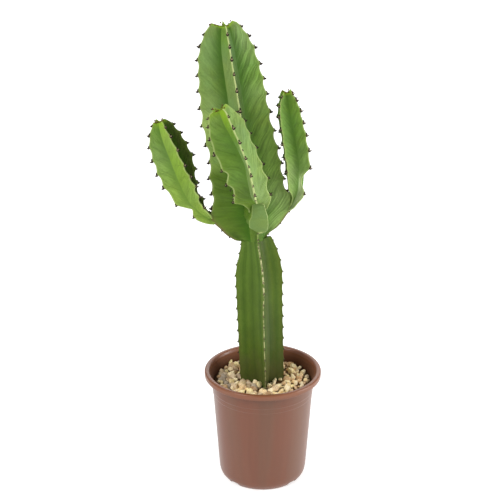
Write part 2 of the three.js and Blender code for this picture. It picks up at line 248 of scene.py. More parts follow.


# %% [markdown]
# ## From arrays to objects
#
# All main pieces start as arrays of points. `make_object` turns such arrays into a mesh object at the
# origin, with numbers stored on its points for the materials and the node trees to read, and
# `place_piece` attaches the finished piece to the frame's root and hides the CAD nodes that it replaces.

# %% Helpers for pieces
ATTRIBUTE_KINDS = {1: ("FLOAT", "value"), 3: ("FLOAT_VECTOR", "vector"), 4: ("FLOAT_COLOR", "color")}


def make_object(name, points, faces=(), stored=None):
    mesh = bpy.data.meshes.new(name)
    mesh.from_pydata([tuple(p) for p in points], [], faces)
    for key, values in (stored or {}).items():
        values = np.asarray(values, np.float32)
        kind, field = ATTRIBUTE_KINDS[1 if values.ndim == 1 else values.shape[1]]
        mesh.attributes.new(key, kind, "POINT").data.foreach_set(field, values.ravel())
    mesh.polygons.foreach_set("use_smooth", [True] * len(mesh.polygons))
    mesh.update()
    made = bpy.data.objects.new(name, mesh)
    scene.collection.objects.link(made)
    return made


def place_piece(piece, slot, *nodes):
    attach(piece, "root")
    if nodes:
        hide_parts(*nodes)
    print(piece.name, len(piece.data.polygons), "faces")


def smooth_between(pairs, at):
    """A smooth curve through (position, value) pairs, read at an array of positions."""
    places, values = np.array(pairs, float).T
    slopes = np.empty_like(values)
    slopes[1:-1] = (values[2:] - values[:-2]) / (places[2:] - places[:-2])
    slopes[0] = (values[1] - values[0]) / (places[1] - places[0])
    slopes[-1] = (values[-1] - values[-2]) / (places[-1] - places[-2])
    at = np.clip(at, places[0], places[-1])
    k = np.clip(np.searchsorted(places, at, side="right") - 1, 0, len(places) - 2)
    span = places[k + 1] - places[k]
    f = (at - places[k]) / span
    return ((2 * f**3 - 3 * f**2 + 1) * values[k] + (f**3 - 2 * f**2 + f) * span * slopes[k]
            + (3 * f**2 - 2 * f**3) * values[k + 1] + (f**3 - f**2) * span * slopes[k + 1])


def soft_step(low, high, at):
    f = np.clip((at - low) / (high - low), 0, 1)
    return f * f * (3 - 2 * f)


def unit(vectors):
    return vectors / np.linalg.norm(vectors, axis=-1, keepdims=True)


# %% [markdown]
# ## The stems' measurements
#
# Each stem grows along a path through a few points. Round it stand four ribs like wings, numbered from
# the front to the right, and `ribs` gives their bearings. The trunk and the upper stem share one path
# and meet at a waist, where the plant stopped growing for a season. All are in millimetres and
# degrees, and what changes along a stem is a list of (length along the path, size).
#
# `reach` is how far the ribs stand out from the path, and `rib_reach` how far a single one does.
# `valley` is the same for the furrow between two ribs, and `furrow_share` moves a furrow nearer to one
# of its ribs. `twist` turns all ribs evenly, and `rib_turn` turns one for a stretch. `edge` is half the
# width of a rib's edge, and `facet` gives the flat end of the front rib, below the front arm, as half
# widths to the left and to the right. `tip_rise` is how far a rib grows past the tip.
#
# `teeth` lists the places of a rib's teeth. A rib without a list gets them by a rule, from `top` below
# the tip down to `lowest`: `first` apart at the tip, and wider down the stem, up to `pitch`. Between
# two teeth the edge draws in by `notch`, or on a single rib by `deep_notch`. `thorn` is the size of the
# spines, and `spurs` lists small extra cushions between the teeth.
#
# `rise` is how far a vein climbs from furrow to edge, and `late_rise` the stretch over which one rib's
# veins come to do so. `edge_line` is the strength of the pale line along each edge, `faint_line` the
# length below which it is faint, `browned` how brown the lower edge is, and `foot` the stretch over
# which a banded foot fades. `flanks` gives the looks of single flanks, two to a rib: greens along the
# stem, how dark the painted shade in the furrow is, how strong the veins are, and how long the young
# growth is. The greens are partly the stem's own colour and partly painted light and shade: flanks that
# lie in the shadow of an arm or the main stem, or turn away from the lamps, get darker greens, and lit
# flanks paler ones. The flat end has its `facet_look`, and all the rest look like `other_flanks`.

# %% Stem measurements
COLUMN = [(-0.5, 0, 96), (-0.8, 0, 150), (-2.4, 0, 205), (-4.2, 0, 262), (-6.5, 0, 324),
          (-10.5, 0, 377), (-17, 0, 436), (-25.5, 0, 493), (-35, 0, 546), (-42, 0, 595),
          (-48.5, 0, 641), (-52.5, 0, 677), (-53.5, 0, 694)]
WAIST_POINT = 5
FRONT, RIGHT, BACK, LEFT = 0, 1, 2, 3

# These greens are partly the stem's own colour and partly painted light and shade: the darker ones stand
# for flanks in shadow, the paler ones for lit flanks.
GREENS = {
    "sage": "7C9A50", "pale sage": "8EA95E", "dull sage": "7A9450", "leaf": "688A38",
    "fresh": "84A446", "lime": "7C9C38", "forest": "5E7E2C", "moss": "587428", "shade": "547022",
    "deep": "445420", "grey": "57683E", "facet": "688244", "olive": "4C6018", "dusk": "425018",
    "bark": "66623A", "meadow": "7A9B45", "heather": "66883E", "slate": "627A48", "lush": "A2BA68",
    "mint": "82A056", "silver": "A0B47C", "heath": "4E5C2B"}
ARM_LOOK = ([(0, "leaf")], 0.6, 0.5, 8)

STEMS = {
    "trunk": dict(
        path=COLUMN, last_point=WAIST_POINT, ribs=(9, 97, 189, 276),
        reach=[(0, 26), (30, 31), (55, 32.5), (190, 34), (230, 33.5), (248, 30), (263, 25.5),
               (283, 20.5)],
        rib_reach={RIGHT: [(0, 26), (30, 31), (55, 32.5), (190, 34), (225, 35), (246, 33),
                           (258, 30.5), (272, 26.5), (284, 21)]},
        valley=[(0, 9), (45, 10), (75, 13.5), (120, 15.5), (215, 15), (245, 13), (283, 12.5)],
        edge=[(0, 0.8), (190, 0.8), (215, 1.2), (283, 1.1)], edge_line=(0.9, 0.2, 0.2, 0.2),
        rib_turn={FRONT: [(0, 0), (180, 0), (210, 2.5), (250, 3), (270, 1), (283, 0)]},
        notch=1.1, pitch=17.5, first=14, top=6, lowest=48, teeth={}, rise=8, thorn=0.58,
        spurs={rib: (251, 262, 271) for rib in range(4)},
        flanks={
            0: ([(0, "dusk"), (120, "olive"), (283, "moss")], 0.5, 0.4, 1),
            1: ([(0, "bark"), (120, "heath")], 0.6, 0.3, 1),
            2: ([(0, "bark"), (90, "dusk"), (200, "olive")], 0.9, 0.5, 1),
            7: ([(0, "dusk"), (120, "olive"), (283, "moss")], 0.7, 0.6, 1)},
        other_flanks=([(0, "bark"), (100, "olive")], 0.6, 0.5, 1)),
    "upper_stem": dict(
        path=COLUMN, first_point=WAIST_POINT, ribs=(10, 99, 190, 279),
        reach=[(0, 21), (6, 31), (14, 40), (26, 50), (38, 59), (52, 58), (66, 53.5), (80, 52),
               (105, 52), (130, 50), (155, 49.5), (180, 49.5), (205, 48), (230, 46), (255, 43.5),
               (275, 40.5), (292, 35), (307, 27), (316, 18.5), (320.5, 12.5)],
        rib_reach={
            FRONT: [(0, 21), (10, 23), (18, 26), (23, 35), (27, 47), (34, 54), (50, 58.5), (64, 60),
                    (80, 58), (96, 54), (112, 51.5)],
            RIGHT: [(0, 15), (6, 19.5), (13, 32), (21, 40.5), (31, 49.5), (39, 60), (46, 60.5),
                    (54, 58.5), (60, 56.5), (65, 51.5), (72, 51), (105, 51), (130, 50), (230, 46),
                    (255, 43.5), (275, 40.5), (292, 35), (307, 27.5), (313, 22.5), (320.5, 11.5)],
            BACK: [(0, 21), (6, 31), (14, 40), (26, 50), (38, 59), (52, 58), (66, 53.5), (80, 52),
                   (105, 52), (155, 49.5), (205, 48), (230, 46), (255, 42), (275, 36), (292, 27),
                   (307, 15), (316, 8), (320.5, 6)],
            LEFT: [(0, 21), (2, 28), (6, 33.5), (14, 42), (23, 48), (30, 53.5), (39, 60), (52, 58.5),
                   (66, 56), (80, 54.5), (104, 54.5), (118, 52.5), (130, 50), (155, 50), (181, 50.5),
                   (206, 49.5), (231, 48), (253, 45.5), (274, 42.5), (292, 37), (307, 29.5),
                   (315, 23.5), (320.6, 18)]},
        valley=[(0, 12.5), (25, 13), (60, 15), (200, 14), (280, 12.5), (305, 9), (315, 7),
                (320.5, 5)],
        edge=[(0, 0.9), (24, 0.9), (96, 1.1), (320, 0.9)], edge_line=(0.9, 0.35, 0.35, 0.35),
        facet={FRONT: ([(29, 0.9), (35, 7), (42, 14.6), (53, 13.6), (59, 10), (73, 7), (84, 5),
                        (88, 1)],
                       [(23, 0.9), (27, 6.5), (31, 10), (40, 12), (55, 12.4), (62, 11), (73, 10),
                        (78, 1)])},
        notch=3.6, pitch=24.5,
        teeth={FRONT: (108, 131, 157, 182, 208, 236, 259, 279, 295, 310),
               BACK: (58, 82, 106, 130, 155, 179, 204, 228, 253, 274, 292, 306),
               RIGHT: (64, 82, 105, 127, 153, 183, 210, 232, 254, 279, 297, 312),
               LEFT: (58, 80, 104, 128, 154, 181, 206, 231, 253, 274, 292, 307, 319)},
        spurs={FRONT: (2, 7, 20, 86), RIGHT: (5, 18, 33), LEFT: (9, 21, 40)},
        browned={RIGHT: 1.3, LEFT: 1.3}, faint_line={FRONT: 26}, tip_rise={RIGHT: 3.6},
        rise=45, late_rise={LEFT: (40, 130)}, foot=(26, 4), thorn=1.2,
        flanks={
            0: ([(0, "moss"), (40, "shade"), (84, "shade"), (110, "leaf"), (150, "dull sage"),
                 (270, "dull sage"), (300, "leaf")], 0.1, 0.15, 3),
            1: ([(0, "moss"), (24, "moss"), (84, "leaf"), (100, "grey"), (235, "grey"),
                 (262, "slate"), (285, "slate")], 0.6, 0.3, 3),
            2: ([(0, "moss"), (14, "dull sage"), (30, "sage"), (60, "dull sage"), (100, "meadow"),
                 (180, "meadow"), (215, "sage"), (240, "leaf"), (256, "heather"),
                 (290, "dull sage")], 1.0, 0.8, 3),
            7: ([(0, "moss"), (50, "shade"), (106, "shade"), (128, "sage"), (150, "sage"),
                 (182, "lush"), (205, "pale sage"), (240, "sage"), (320, "dull sage")], 1.0, 0.35, 3)},
        facet_look=([(0, "facet")], 0.0, 0.0, 3),
        other_flanks=([(0, "moss"), (120, "leaf"), (320, "sage")], 0.6, 0.6, 7)),
    "arm_left": dict(
        path=[(-66, -8, 407), (-78, -9, 416), (-93, -10.5, 429), (-105, -12, 444), (-115, -13, 469),
              (-121.5, -14, 490), (-128, -15, 510), (-135, -15, 529), (-140, -15, 545),
              (-143.5, -15, 559)],
        ribs=(33, 116, 208, 294),
        reach=[(0, 1), (6, 3.5), (10, 7.5), (22, 13.5), (30, 14), (37, 9.5), (45, 14.5), (55, 20.5),
               (84, 27), (105, 29.5), (126, 29), (146, 26), (160, 20.5), (171, 13), (176, 9)],
        rib_reach={RIGHT: [(0, 1), (8, 2), (13, 5.5), (34, 15.5), (44, 18), (67, 23), (89, 28),
                           (110, 30.5), (129, 28.5), (147, 26), (163, 20), (172, 12.5), (176, 8)],
                   FRONT: [(0, 1), (7, 1.5), (11, 6), (16, 9.5), (24, 11.5), (36, 15.5), (48, 20),
                           (60, 22.5), (84, 26.5), (96, 28), (108, 29.5)],
                   LEFT: [(0, 6), (6, 9), (12, 11.5), (22, 14), (30, 14), (37, 9.5)]},
        rib_turn={FRONT: [(0, 0), (24, 8), (36, 20), (50, 27), (60, 28), (84, 17), (96, 8), (108, 3),
                          (125, 0)]},
        valley=[(0, 0.8), (8, 1.2), (13, 4.5), (36, 7), (80, 9.5), (140, 9), (165, 6), (176, 3.5)],
        edge=[(0, 2), (20, 1.3), (176, 0.9)], edge_line=(0.45, 0.2, 0.3, 0.4),
        notch=3.6, pitch=22, first=10.5, top=4, lowest=41,
        deep_notch={FRONT: [(20, 2), (50, 5), (150, 5.5), (176, 3)]},
        teeth={FRONT: (30, 50, 72, 92, 112, 134, 155, 168), RIGHT: (13, 35, 67, 88, 109, 128, 146, 163),
               LEFT: (30, 55, 84, 105, 127, 146, 161, 172)},
        rise=24, thorn=1.15,
        flanks={
            0: ([(0, "fresh"), (60, "fresh"), (90, "lime"), (120, "lime"), (150, "fresh")], 0.2, 0.3, 14),
            1: ([(0, "shade")], 0.7, 0.5, 5), 2: ([(0, "deep")], 0.7, 0.5, 5),
            7: ([(0, "fresh"), (80, "fresh"), (130, "sage"), (176, "leaf")], 0.6, 0.4, 8)},
        other_flanks=ARM_LOOK),
    "arm_front": dict(
        path=[(-7, -45, 439), (-8.5, -52, 449), (-11, -62, 463), (-15, -75, 481), (-20, -83, 502),
              (-26, -87, 523.5), (-35.5, -89, 545), (-44, -90, 564), (-53, -90, 583), (-60, -90, 603)],
        ribs=(13.5, 108, 203, 295), twist=0.2,
        reach=[(0, 14), (23, 22), (40, 26), (100, 27), (150, 27), (168, 24), (178, 19.5), (184.5, 12)],
        rib_reach={
            FRONT: [(0, 1), (26, 1.5), (32, 5), (38, 8.5), (44, 12), (50, 17), (55, 22.5), (62, 24.7),
                    (88, 26), (113, 27.5), (139, 27.5), (158, 26), (175, 22), (184.5, 14)],
            RIGHT: [(0, 12), (3, 13.2), (14, 18), (24, 21.2), (36, 21), (62, 25.2), (87, 24), (109, 24.7),
                    (131, 26.3), (150, 28), (162, 26.5), (169, 22), (176, 18), (184.5, 13)],
            LEFT: [(0, 13.5), (8, 13.6), (16, 16), (27, 20.3), (36, 26), (42, 30.4), (47, 30.4),
                   (54, 28.8), (59, 27), (67, 29), (80, 33.7), (108, 34.2), (134, 34.5), (156, 31.8),
                   (170, 26.8), (180, 23), (184.5, 18)]},
        furrow_share={FRONT: [(0, 0.5), (60, 0.35), (85, 0.25), (100, 0.16), (125, 0.16), (140, 0.22),
                              (160, 0.34), (180, 0.45)]},
        valley=[(0, 1.5), (20, 3), (32, 6), (46, 9), (60, 10.5), (110, 10.5), (150, 9.5), (174, 7),
                (184.5, 4.5)],
        edge=[(0, 1.2), (50, 1.3), (184, 0.9)], edge_line=(0.9, 0.3, 0.3, 0.45),
        notch=3.8, pitch=23.5, first=10.5, top=3, lowest=24,
        deep_notch={LEFT: [(44, 0.6), (58, 0.6), (66, 3), (82, 5), (95, 6.5), (115, 3), (184, 2.6)]},
        teeth={FRONT: (63, 91, 115, 138, 158, 175), RIGHT: (30, 63, 87, 109, 131, 149, 167),
               LEFT: (45, 58, 80, 108, 134, 156, 170, 180)},
        rise=24, thorn=1.15,
        flanks={
            0: ([(0, "dull sage"), (120, "dull sage"), (140, "leaf")], 0.1, 0.2, 34),
            1: ([(0, "dull sage"), (45, "dull sage"), (90, "mint")], 0.15, 0.4, 5),
            2: ([(0, "dull sage"), (45, "dull sage"), (90, "mint")], 0.2, 0.5, 5),
            7: ([(0, "moss"), (60, "moss"), (80, "leaf"), (120, "forest"), (150, "leaf"),
                 (184, "sage")], 0.35, 0.4, 8)},
        spurs={FRONT: (52, 77, 103, 127), LEFT: (51, 69)},
        other_flanks=ARM_LOOK),
    "arm_right": dict(
        path=[(35, 6.6, 417.5), (42.6, 8, 433), (47.5, 9, 452), (48.5, 10, 474), (47.5, 10, 498),
              (43.5, 10, 523), (38.5, 10, 548), (35, 10, 570), (33, 10, 584), (32.3, 10, 593)],
        ribs=(-40, 50, 140, 230),
        reach=[(0, 2), (6, 6), (16, 9), (32, 15), (45, 8.5), (58, 15), (70, 22.5), (97, 23.5),
               (117, 24), (136, 23), (155, 21), (166, 17.5), (174, 12.5), (179, 9)],
        rib_reach={
            FRONT: [(0, 1), (12, 2), (20, 5), (28, 12), (35, 19), (48, 22.5), (61, 24.5), (74, 27.4),
                    (94, 28.6), (113, 27), (131, 25.1), (146, 24), (160, 21.5), (168, 18), (174, 13),
                    (179, 9)],
            LEFT: [(0, 1), (12, 3), (20, 8), (28, 13.5), (52, 22.5), (79, 25.8), (100, 25.5), (119, 25),
                   (141, 24), (157, 20.5), (167, 16), (175, 12), (179, 9)],
            BACK: [(0, 2), (6, 6), (16, 9), (32, 14), (45, 9), (58, 13), (70, 19), (97, 20.5),
                   (117, 21), (136, 20), (155, 18), (166, 15), (174, 11), (179, 9)]},
        deep_notch={LEFT: [(0, 2.0), (179, 1.8)], BACK: [(0, 2.5), (179, 2.5)]},
        valley=[(0, 1.2), (12, 3), (24, 6.5), (38, 8), (110, 8.5), (150, 7.5), (168, 5), (179, 3)],
        edge=[(0, 1.6), (20, 1.2), (179, 0.9)], edge_line=(0.35, 0.3, 0.3, 0.1),
        notch=3.4, pitch=22, first=10.5, top=5, lowest=50,
        teeth={RIGHT: (32, 70, 94, 116, 135, 153, 168, 177), LEFT: (28, 52, 77, 99, 118, 140, 157, 169)},
        rise=22, thorn=1.15,
        flanks={
            0: ([(0, "shade")], 0.5, 0.4, 8),
            1: ([(0, "pale sage"), (40, "sage"), (65, "dull sage"), (95, "leaf")], 0.7, 0.4, 3),
            2: ([(0, "silver"), (45, "silver"), (65, "sage"), (120, "leaf")], 0.55, 0.5, 3)},
        other_flanks=ARM_LOOK),
}

# %% [markdown]
# ## The path of a stem
#
# The path is a Catmull-Rom curve through its points, walked in small steps so that it can be read by
# the length travelled. At each length it has three directions: up along the stem, the one nearest to
# the front, and the one to the right. Two stems that share a path both reach a little past the waist.

# %% Paths
STEPS_PER_POINT = 40


def catmull_rom(points):
    """Many points on a smooth curve through a few."""
    knots = np.array(points, float)
    padded = np.vstack([2 * knots[0] - knots[1], knots, 2 * knots[-1] - knots[-2]])
    f = np.linspace(0, 1, STEPS_PER_POINT, endpoint=False)[:, None]
    walk = []
    for k in range(len(knots) - 1):
        a, b, c, d = padded[k:k + 4]
        walk.append(0.5 * (2 * b + (c - a) * f + (2 * a - 5 * b + 4 * c - d) * f**2
                           + (3 * b - a - 3 * c + d) * f**3))
    return np.vstack([*walk, knots[-1:]])


class StemPath:
    """The middle line of one stem, from its base to its tip, in millimetres."""

    JOIN = 0.5

    def __init__(self, stem):
        self.points = catmull_rom(stem["path"])
        steps = np.linalg.norm(np.diff(self.points, axis=0), axis=1)
        self.lengths = np.concatenate([[0], np.cumsum(steps)])
        first, last = stem.get("first_point"), stem.get("last_point")
        self.start = self.lengths[first * STEPS_PER_POINT] - self.JOIN if first else 0
        end = self.lengths[last * STEPS_PER_POINT] + self.JOIN if last else self.lengths[-1]
        self.length = end - self.start

    def centre(self, s):
        walked = self.start + s
        return np.column_stack([np.interp(walked, self.lengths, self.points[:, k]) for k in range(3)])

    def directions(self, s):
        step = 2.0
        ahead = np.clip(s + step, -self.start, self.length)
        up = unit(self.centre(ahead) - self.centre(ahead - 2 * step))
        front = unit(np.array([0.0, -1.0, 0.0]) - up * (-up[:, 1:2]))
        return up, front, np.cross(up, front)


PATHS = {name: StemPath(stem) for name, stem in STEMS.items()}
for stem_name, path in PATHS.items():
    print(stem_name, "is", round(path.length, 1), "mm long")

# %% [markdown]
# ## The edge of a rib
#
# Between two teeth the edge draws in along an arc, which is deepest just below the upper tooth, so
# that the teeth point slightly down. At a tooth of a living stem the edge is a little thicker. The
# arcs begin near the first tooth and end near the last.

# %% Rib edges
TOOTH_LENGTH = 2.0
TOOTH_SWELL = 0.5
TOOTH_GAP_GROWTH = 3.6
TEETH_BEYOND = 9
ARC_SKEW = 1.35
ARC_FULLNESS = 0.8
ARCS_BEGIN = (-6, 2)
ARCS_END, ARCS_FADE = 5, 4


def option(name, key, rib, default=None):
    """What a stem's measurements say about one rib, if they name it."""
    return STEMS[name].get(key, {}).get(rib, default)


def tooth_places(name, rib):
    stem, listed = STEMS[name], option(name, "teeth", rib)
    if listed:
        return np.array(listed, float)
    step, place = stem["first"], PATHS[name].length - stem["top"]
    places = []
    while place > stem["lowest"]:
        places.insert(0, place)
        place -= min(step, stem["pitch"])
        step += TOOTH_GAP_GROWTH
    return np.array(places)


def reach_of(name, rib, s):
    reach = smooth_between(STEMS[name]["reach"], s)
    own = option(name, "rib_reach", rib)
    return reach if own is None else np.where(s < own[-1][0], smooth_between(own, s), reach)


def bearing_of(name, rib, s):
    stem, turns = STEMS[name], option(name, "rib_turn", rib)
    middle = stem["reach"][-1][0] / 2
    turn = smooth_between(turns, s) if turns else 0
    return np.radians(stem["ribs"][rib] + stem.get("twist", 0) * (s - middle) + turn)


def furrow_share_of(name, rib, s):
    """Which part of the angle to the rib before belongs to this rib."""
    pairs = option(name, "furrow_share", rib % 4)
    return smooth_between(pairs, s) if pairs else np.full(s.shape, 0.5)


def tooth_phase(places, s):
    """Whole numbers at the teeth, running on evenly below the first and above the last."""
    below, above = places[1] - places[0], places[-1] - places[-2]
    ends = np.array([places[0] - TEETH_BEYOND * below, *places, places[-1] + TEETH_BEYOND * above])
    counts = np.array([-TEETH_BEYOND, *range(len(places)), len(places) - 1 + TEETH_BEYOND])
    return np.interp(s, ends, counts)


def edge_of(name, rib, s):
    """How far a rib's edge lies from the path, its half widths to both sides, and its teeth."""
    stem = STEMS[name]
    places = tooth_places(name, rib)
    phase = tooth_phase(places, s)
    gap = (phase - np.floor(phase)) ** ARC_SKEW
    pitch = np.interp(s, (places[1:] + places[:-1]) / 2, np.diff(places))
    depth = stem["notch"] * np.minimum(1, pitch / stem["pitch"])
    own = option(name, "deep_notch", rib)
    if own:
        depth = smooth_between(own, s)
    depth = depth * soft_step(places[0] + ARCS_BEGIN[0], places[0] + ARCS_BEGIN[1], s)
    depth = depth * soft_step(0, ARCS_FADE, places[-1] + ARCS_END - s)
    near = np.abs(s[:, None] - places[None, :]).min(axis=1)
    tooth = np.exp(-(near / TOOTH_LENGTH) ** 2)
    reach = reach_of(name, rib, s) - depth * (4 * gap * (1 - gap)) ** ARC_FULLNESS
    halves = [smooth_between(stem["edge"], s) + TOOTH_SWELL * tooth * (name != "trunk")] * 2
    for side, pairs in enumerate(option(name, "facet", rib, ())):
        inside = (s > pairs[0][0]) & (s < pairs[-1][0])
        halves[side] = np.where(inside, np.interp(s, *zip(*pairs)), halves[side])
    return reach, halves[0], halves[1], tooth


# %% [markdown]
# ## The growing tip
#
# Above the last ring a few more close the tip round a small dimple, where new growth starts. On the
# living stems the ends of the ribs stand higher than the dimple between them, and a single rib can
# grow past the others.

# %% Growing tips
RING_STEP = 1.25
CROWN_TURNS = np.linspace(0, 1, 9)[1:-1]
CROWN_LIFT = 0.6
CROWN_LIFT_PACE = 1.3
CROWN_DIMPLE = 1.5
SINK_SHARE = 0.45
SINK_LENGTH = 14
TIP_RISE_LENGTH = 12


def crown_rows(length):
    """The rings' lengths along the path, how far each is drawn in, and how far it is lifted."""
    s = np.linspace(0, length, int(length / RING_STEP))
    s = np.concatenate([s, np.full(len(CROWN_TURNS), length)])
    turns = np.concatenate([np.zeros(len(s) - len(CROWN_TURNS)), CROWN_TURNS])
    bulge = np.sin(math.pi * np.minimum(1, turns * CROWN_LIFT_PACE))
    return s, np.cos(turns * math.pi / 2), CROWN_LIFT * bulge - CROWN_DIMPLE * turns**2


def crown_sink(name, s, out):
    """How far the growing tip lies below the ends of the ribs, at a distance out from the path."""
    if name == "trunk":
        return 0 * out
    length = PATHS[name].length
    widest = max(reach_of(name, rib, np.array([length]))[0] for rib in range(4))
    near_tip = soft_step(length - SINK_LENGTH, length, s)
    return SINK_SHARE * widest * near_tip * (1 - np.clip(out / widest, 0, 1))


def tip_rise(name, rib, s):
    """How much further than the path a rib grows at the tip."""
    length = PATHS[name].length
    return option(name, "tip_rise", rib, 0) * soft_step(length - TIP_RISE_LENGTH, length, s)


# %% [markdown]
# ## The skin of a stem
#
# A stem could be sculpted, or swept with a fixed star section. Here each cross-section is worked out
# by rule, because the ribs flare, narrow and carry teeth. A flank runs from the furrow, where it is
# hollow, to the edge, where it is almost straight, and a low swelling runs down it from each tooth. An
# edge is rounded, unless it is broad enough to be the flat end of a rib with a line on its corners.
#
# Numbers stored on the points say how far out on the rib each one lies, how close to a tooth, along
# which vein, and how young it is, so that the skin's colours can follow the growth.

# %% Ribs
FLANK_STEPS = 12
EVEN_SHARE = 0.35
FLANK_HOLLOW = 1.75
SWELLING = 0.8
SWELLING_ROOM = 10
EDGE_ROUND = 1.3
EDGE_ANGLES = np.radians([-75, -45, -15, 15, 45, 75])
CORNER_ANGLE = np.radians(40)
EDGE_SHARE = 0.9
FACET_SHARE = 1.1
FACET_START = 2.5
FACET_HALF = 4.0
FACET_FLANK = 8
FACET_INWARD = 0.25
FACET_LINE = {-1: 0.25, 1: 0.8}
FACET_LINE_START = (2.0, 3.2)
FAINT_SHARE = 0.25
FAINT_FADE = 4
BROWN_FADE = (52, 38)
BROWN_MARGIN = 0.86
VEIN_OFFSET = 1.7


def flank_places():
    """Places from furrow to edge, closer together at both ends."""
    even = np.linspace(0, 1, FLANK_STEPS + 1)
    return EVEN_SHARE * even + (1 - EVEN_SHARE) * (0.5 - 0.5 * np.cos(math.pi * even))


def rib_columns(name, rib, s):
    """One rib's share of every ring: a list of columns, each with its place and its looks."""
    stem, late = STEMS[name], option(name, "late_rise", rib)
    bearings = [bearing_of(name, k, s) for k in range(4)]
    bearing = bearings[rib]
    before = bearings[rib - 1] - (2 * math.pi if rib == 0 else 0)
    after = bearings[(rib + 1) % 4] + (2 * math.pi if rib == 3 else 0)
    valley = smooth_between(stem["valley"], s)
    reach, half_left, half_right, tooth = edge_of(name, rib, s)
    reach = np.maximum(reach, valley * EDGE_SHARE)
    widest = valley * (FACET_SHARE if option(name, "facet", rib) else EDGE_SHARE)
    places = tooth_places(name, rib)
    rise = stem["rise"] * (soft_step(*late, s) if late else 1)
    faint = option(name, "faint_line", rib, 1)
    full = soft_step(faint - FAINT_FADE, faint, s)
    line = stem["edge_line"][rib] * (FAINT_SHARE + (1 - FAINT_SHARE) * full)
    browned = option(name, "browned", rib, 0) * soft_step(*BROWN_FADE, s)
    tooth, line = np.maximum(tooth, browned), line * (1 - np.minimum(browned, 1))
    raised = tip_rise(name, rib, s)
    columns = []

    def edge_line(half, sign):
        return line * (1 + (FACET_LINE[sign] - 1) * soft_step(*FACET_LINE_START, half))

    def flank(half_angle, half, sign, order):
        half = np.minimum(half, widest)
        depth = np.minimum(half, EDGE_ROUND)
        number = 2 * rib + (sign > 0)
        out0, across0 = valley * np.cos(half_angle), valley * np.sin(half_angle)
        for g in order:
            vein = s + rise * (1 - g)
            swell = np.cos(2 * math.pi * tooth_phase(places, vein)) * 4 * g * (1 - g)
            across = half + np.maximum(across0 - half, 0) * (1 - g) ** FLANK_HOLLOW
            across = across + SWELLING * (name != "trunk") * swell * np.minimum(1, across0 / SWELLING_ROOM)
            brown = tooth if g == 1 else browned * soft_step(BROWN_MARGIN, 1, g)
            columns.append(dict(
                bearing=bearing, out=out0 + (reach - depth - out0) * g, across=sign * across,
                outward=g, tooth=brown, vein=vein + number * VEIN_OFFSET, raised=raised * g,
                line=(g == 1) * edge_line(half, sign), flank=number))

    def cap():
        for angle in EDGE_ANGLES:
            sign = -1 if angle < 0 else 1
            half = np.minimum(half_left if angle < 0 else half_right, widest)
            depth = np.minimum(half, EDGE_ROUND)
            broad = soft_step(FACET_START, FACET_HALF, half)
            corner = abs(angle) > CORNER_ANGLE
            columns.append(dict(
                bearing=bearing, out=reach - depth * (1 - math.cos(angle)),
                across=sign * (half - depth * (1 - abs(math.sin(angle)))),
                outward=1.0 if corner else 1 - FACET_INWARD * broad, tooth=tooth * (1 - broad),
                vein=s + 2 * rib * VEIN_OFFSET, raised=raised,
                line=edge_line(half, sign) if corner else line * (1 - broad),
                flank=np.where(half > FACET_HALF, FACET_FLANK, 2 * rib + (angle > 0))))

    f = flank_places()
    flank((bearing - before) * furrow_share_of(name, rib, s), half_left, -1, f[1:])
    cap()
    flank((after - bearing) * (1 - furrow_share_of(name, rib + 1, s)), half_right, 1, f[::-1])
    return columns


# %% Stem skins
def green_along(greens, s):
    """The flank's colour at each length, blended between the named greens."""
    places = [place for place, name in greens]
    colours = np.array([tone(GREENS[name]) for place, name in greens])
    return np.column_stack([np.interp(s, places, colours[:, k]) for k in range(4)])


def gather(columns, key, s):
    """One value of all columns, as an array of rings by columns."""
    return np.array([np.broadcast_to(column[key], s.shape) for column in columns], float).T


def ring_offsets(columns, s):
    """How far the points of every ring lie ahead of the path, and how far to the right of it."""
    out, across, bearing = (gather(columns, key, s) for key in ("out", "across", "bearing"))
    return (np.cos(bearing) * out - np.sin(bearing) * across,
            np.sin(bearing) * out + np.cos(bearing) * across)


def skin_looks(name, number, s):
    """What the measurements say about the flank that each point lies on."""
    stem = STEMS[name]
    looks = [stem["flanks"].get(k, stem["other_flanks"]) for k in range(FACET_FLANK)]
    looks.append(stem.get("facet_look", stem["other_flanks"]))
    green = np.stack([green_along(look[0], s) for look in looks])
    furrow, veined, young_length = (np.array([look[k] for look in looks], float)[number]
                                    for k in (1, 2, 3))
    return {"furrow": furrow, "veined": veined, "tint": green[number, np.arange(len(s))[:, None]],
            "young": np.exp(-(PATHS[name].length - s[:, None]) / young_length)}


def skin_faces(rows, around):
    """Quads between the rings, and a fan of triangles at each end."""
    base, top, last = rows * around, rows * around + 1, (rows - 1) * around
    faces = []
    for k in range(around):
        after = (k + 1) % around
        for low in range(0, last, around):
            high = low + around
            faces.append((low + k, low + after, high + after, high + k))
        faces += [(base, after, k), (top, last + k, last + after)]
    return faces


def make_stem_skin(name):
    stem, path = STEMS[name], PATHS[name]
    s, drawn, lift = crown_rows(path.length)
    columns = [column for rib in range(4) for column in rib_columns(name, rib, s)]
    ahead, aside = (offset * drawn[:, None] for offset in ring_offsets(columns, s))
    up, front, right = path.directions(s)
    centre = path.centre(s) + up * lift[:, None]
    raised = gather(columns, "raised", s) * drawn[:, None]
    raised = raised - crown_sink(name, s[:, None], np.hypot(ahead, aside))
    rings = (centre[:, None, :] + front[:, None, :] * ahead[:, :, None]
             + right[:, None, :] * aside[:, :, None] + up[:, None, :] * raised[:, :, None])
    rows, around = aside.shape
    points = np.vstack([rings.reshape(-1, 3), centre[0], rings[-1].mean(axis=0)]) * MM
    foot = soft_step(*stem["foot"], s) if "foot" in stem else 0 * s
    numbers = {key: gather(columns, key, s) for key in ("outward", "tooth", "line", "vein")}
    numbers["vein"] = numbers["vein"] * MM
    numbers["foot"] = np.broadcast_to(foot[:, None], aside.shape)
    numbers.update(skin_looks(name, gather(columns, "flank", s).astype(int), s))
    for key, values in numbers.items():
        values = values.reshape(rows * around, -1)
        numbers[key] = np.vstack([values, values[:1], values[-1:]]).squeeze()
    return make_object(name + "_skin", points, skin_faces(rows, around), numbers)
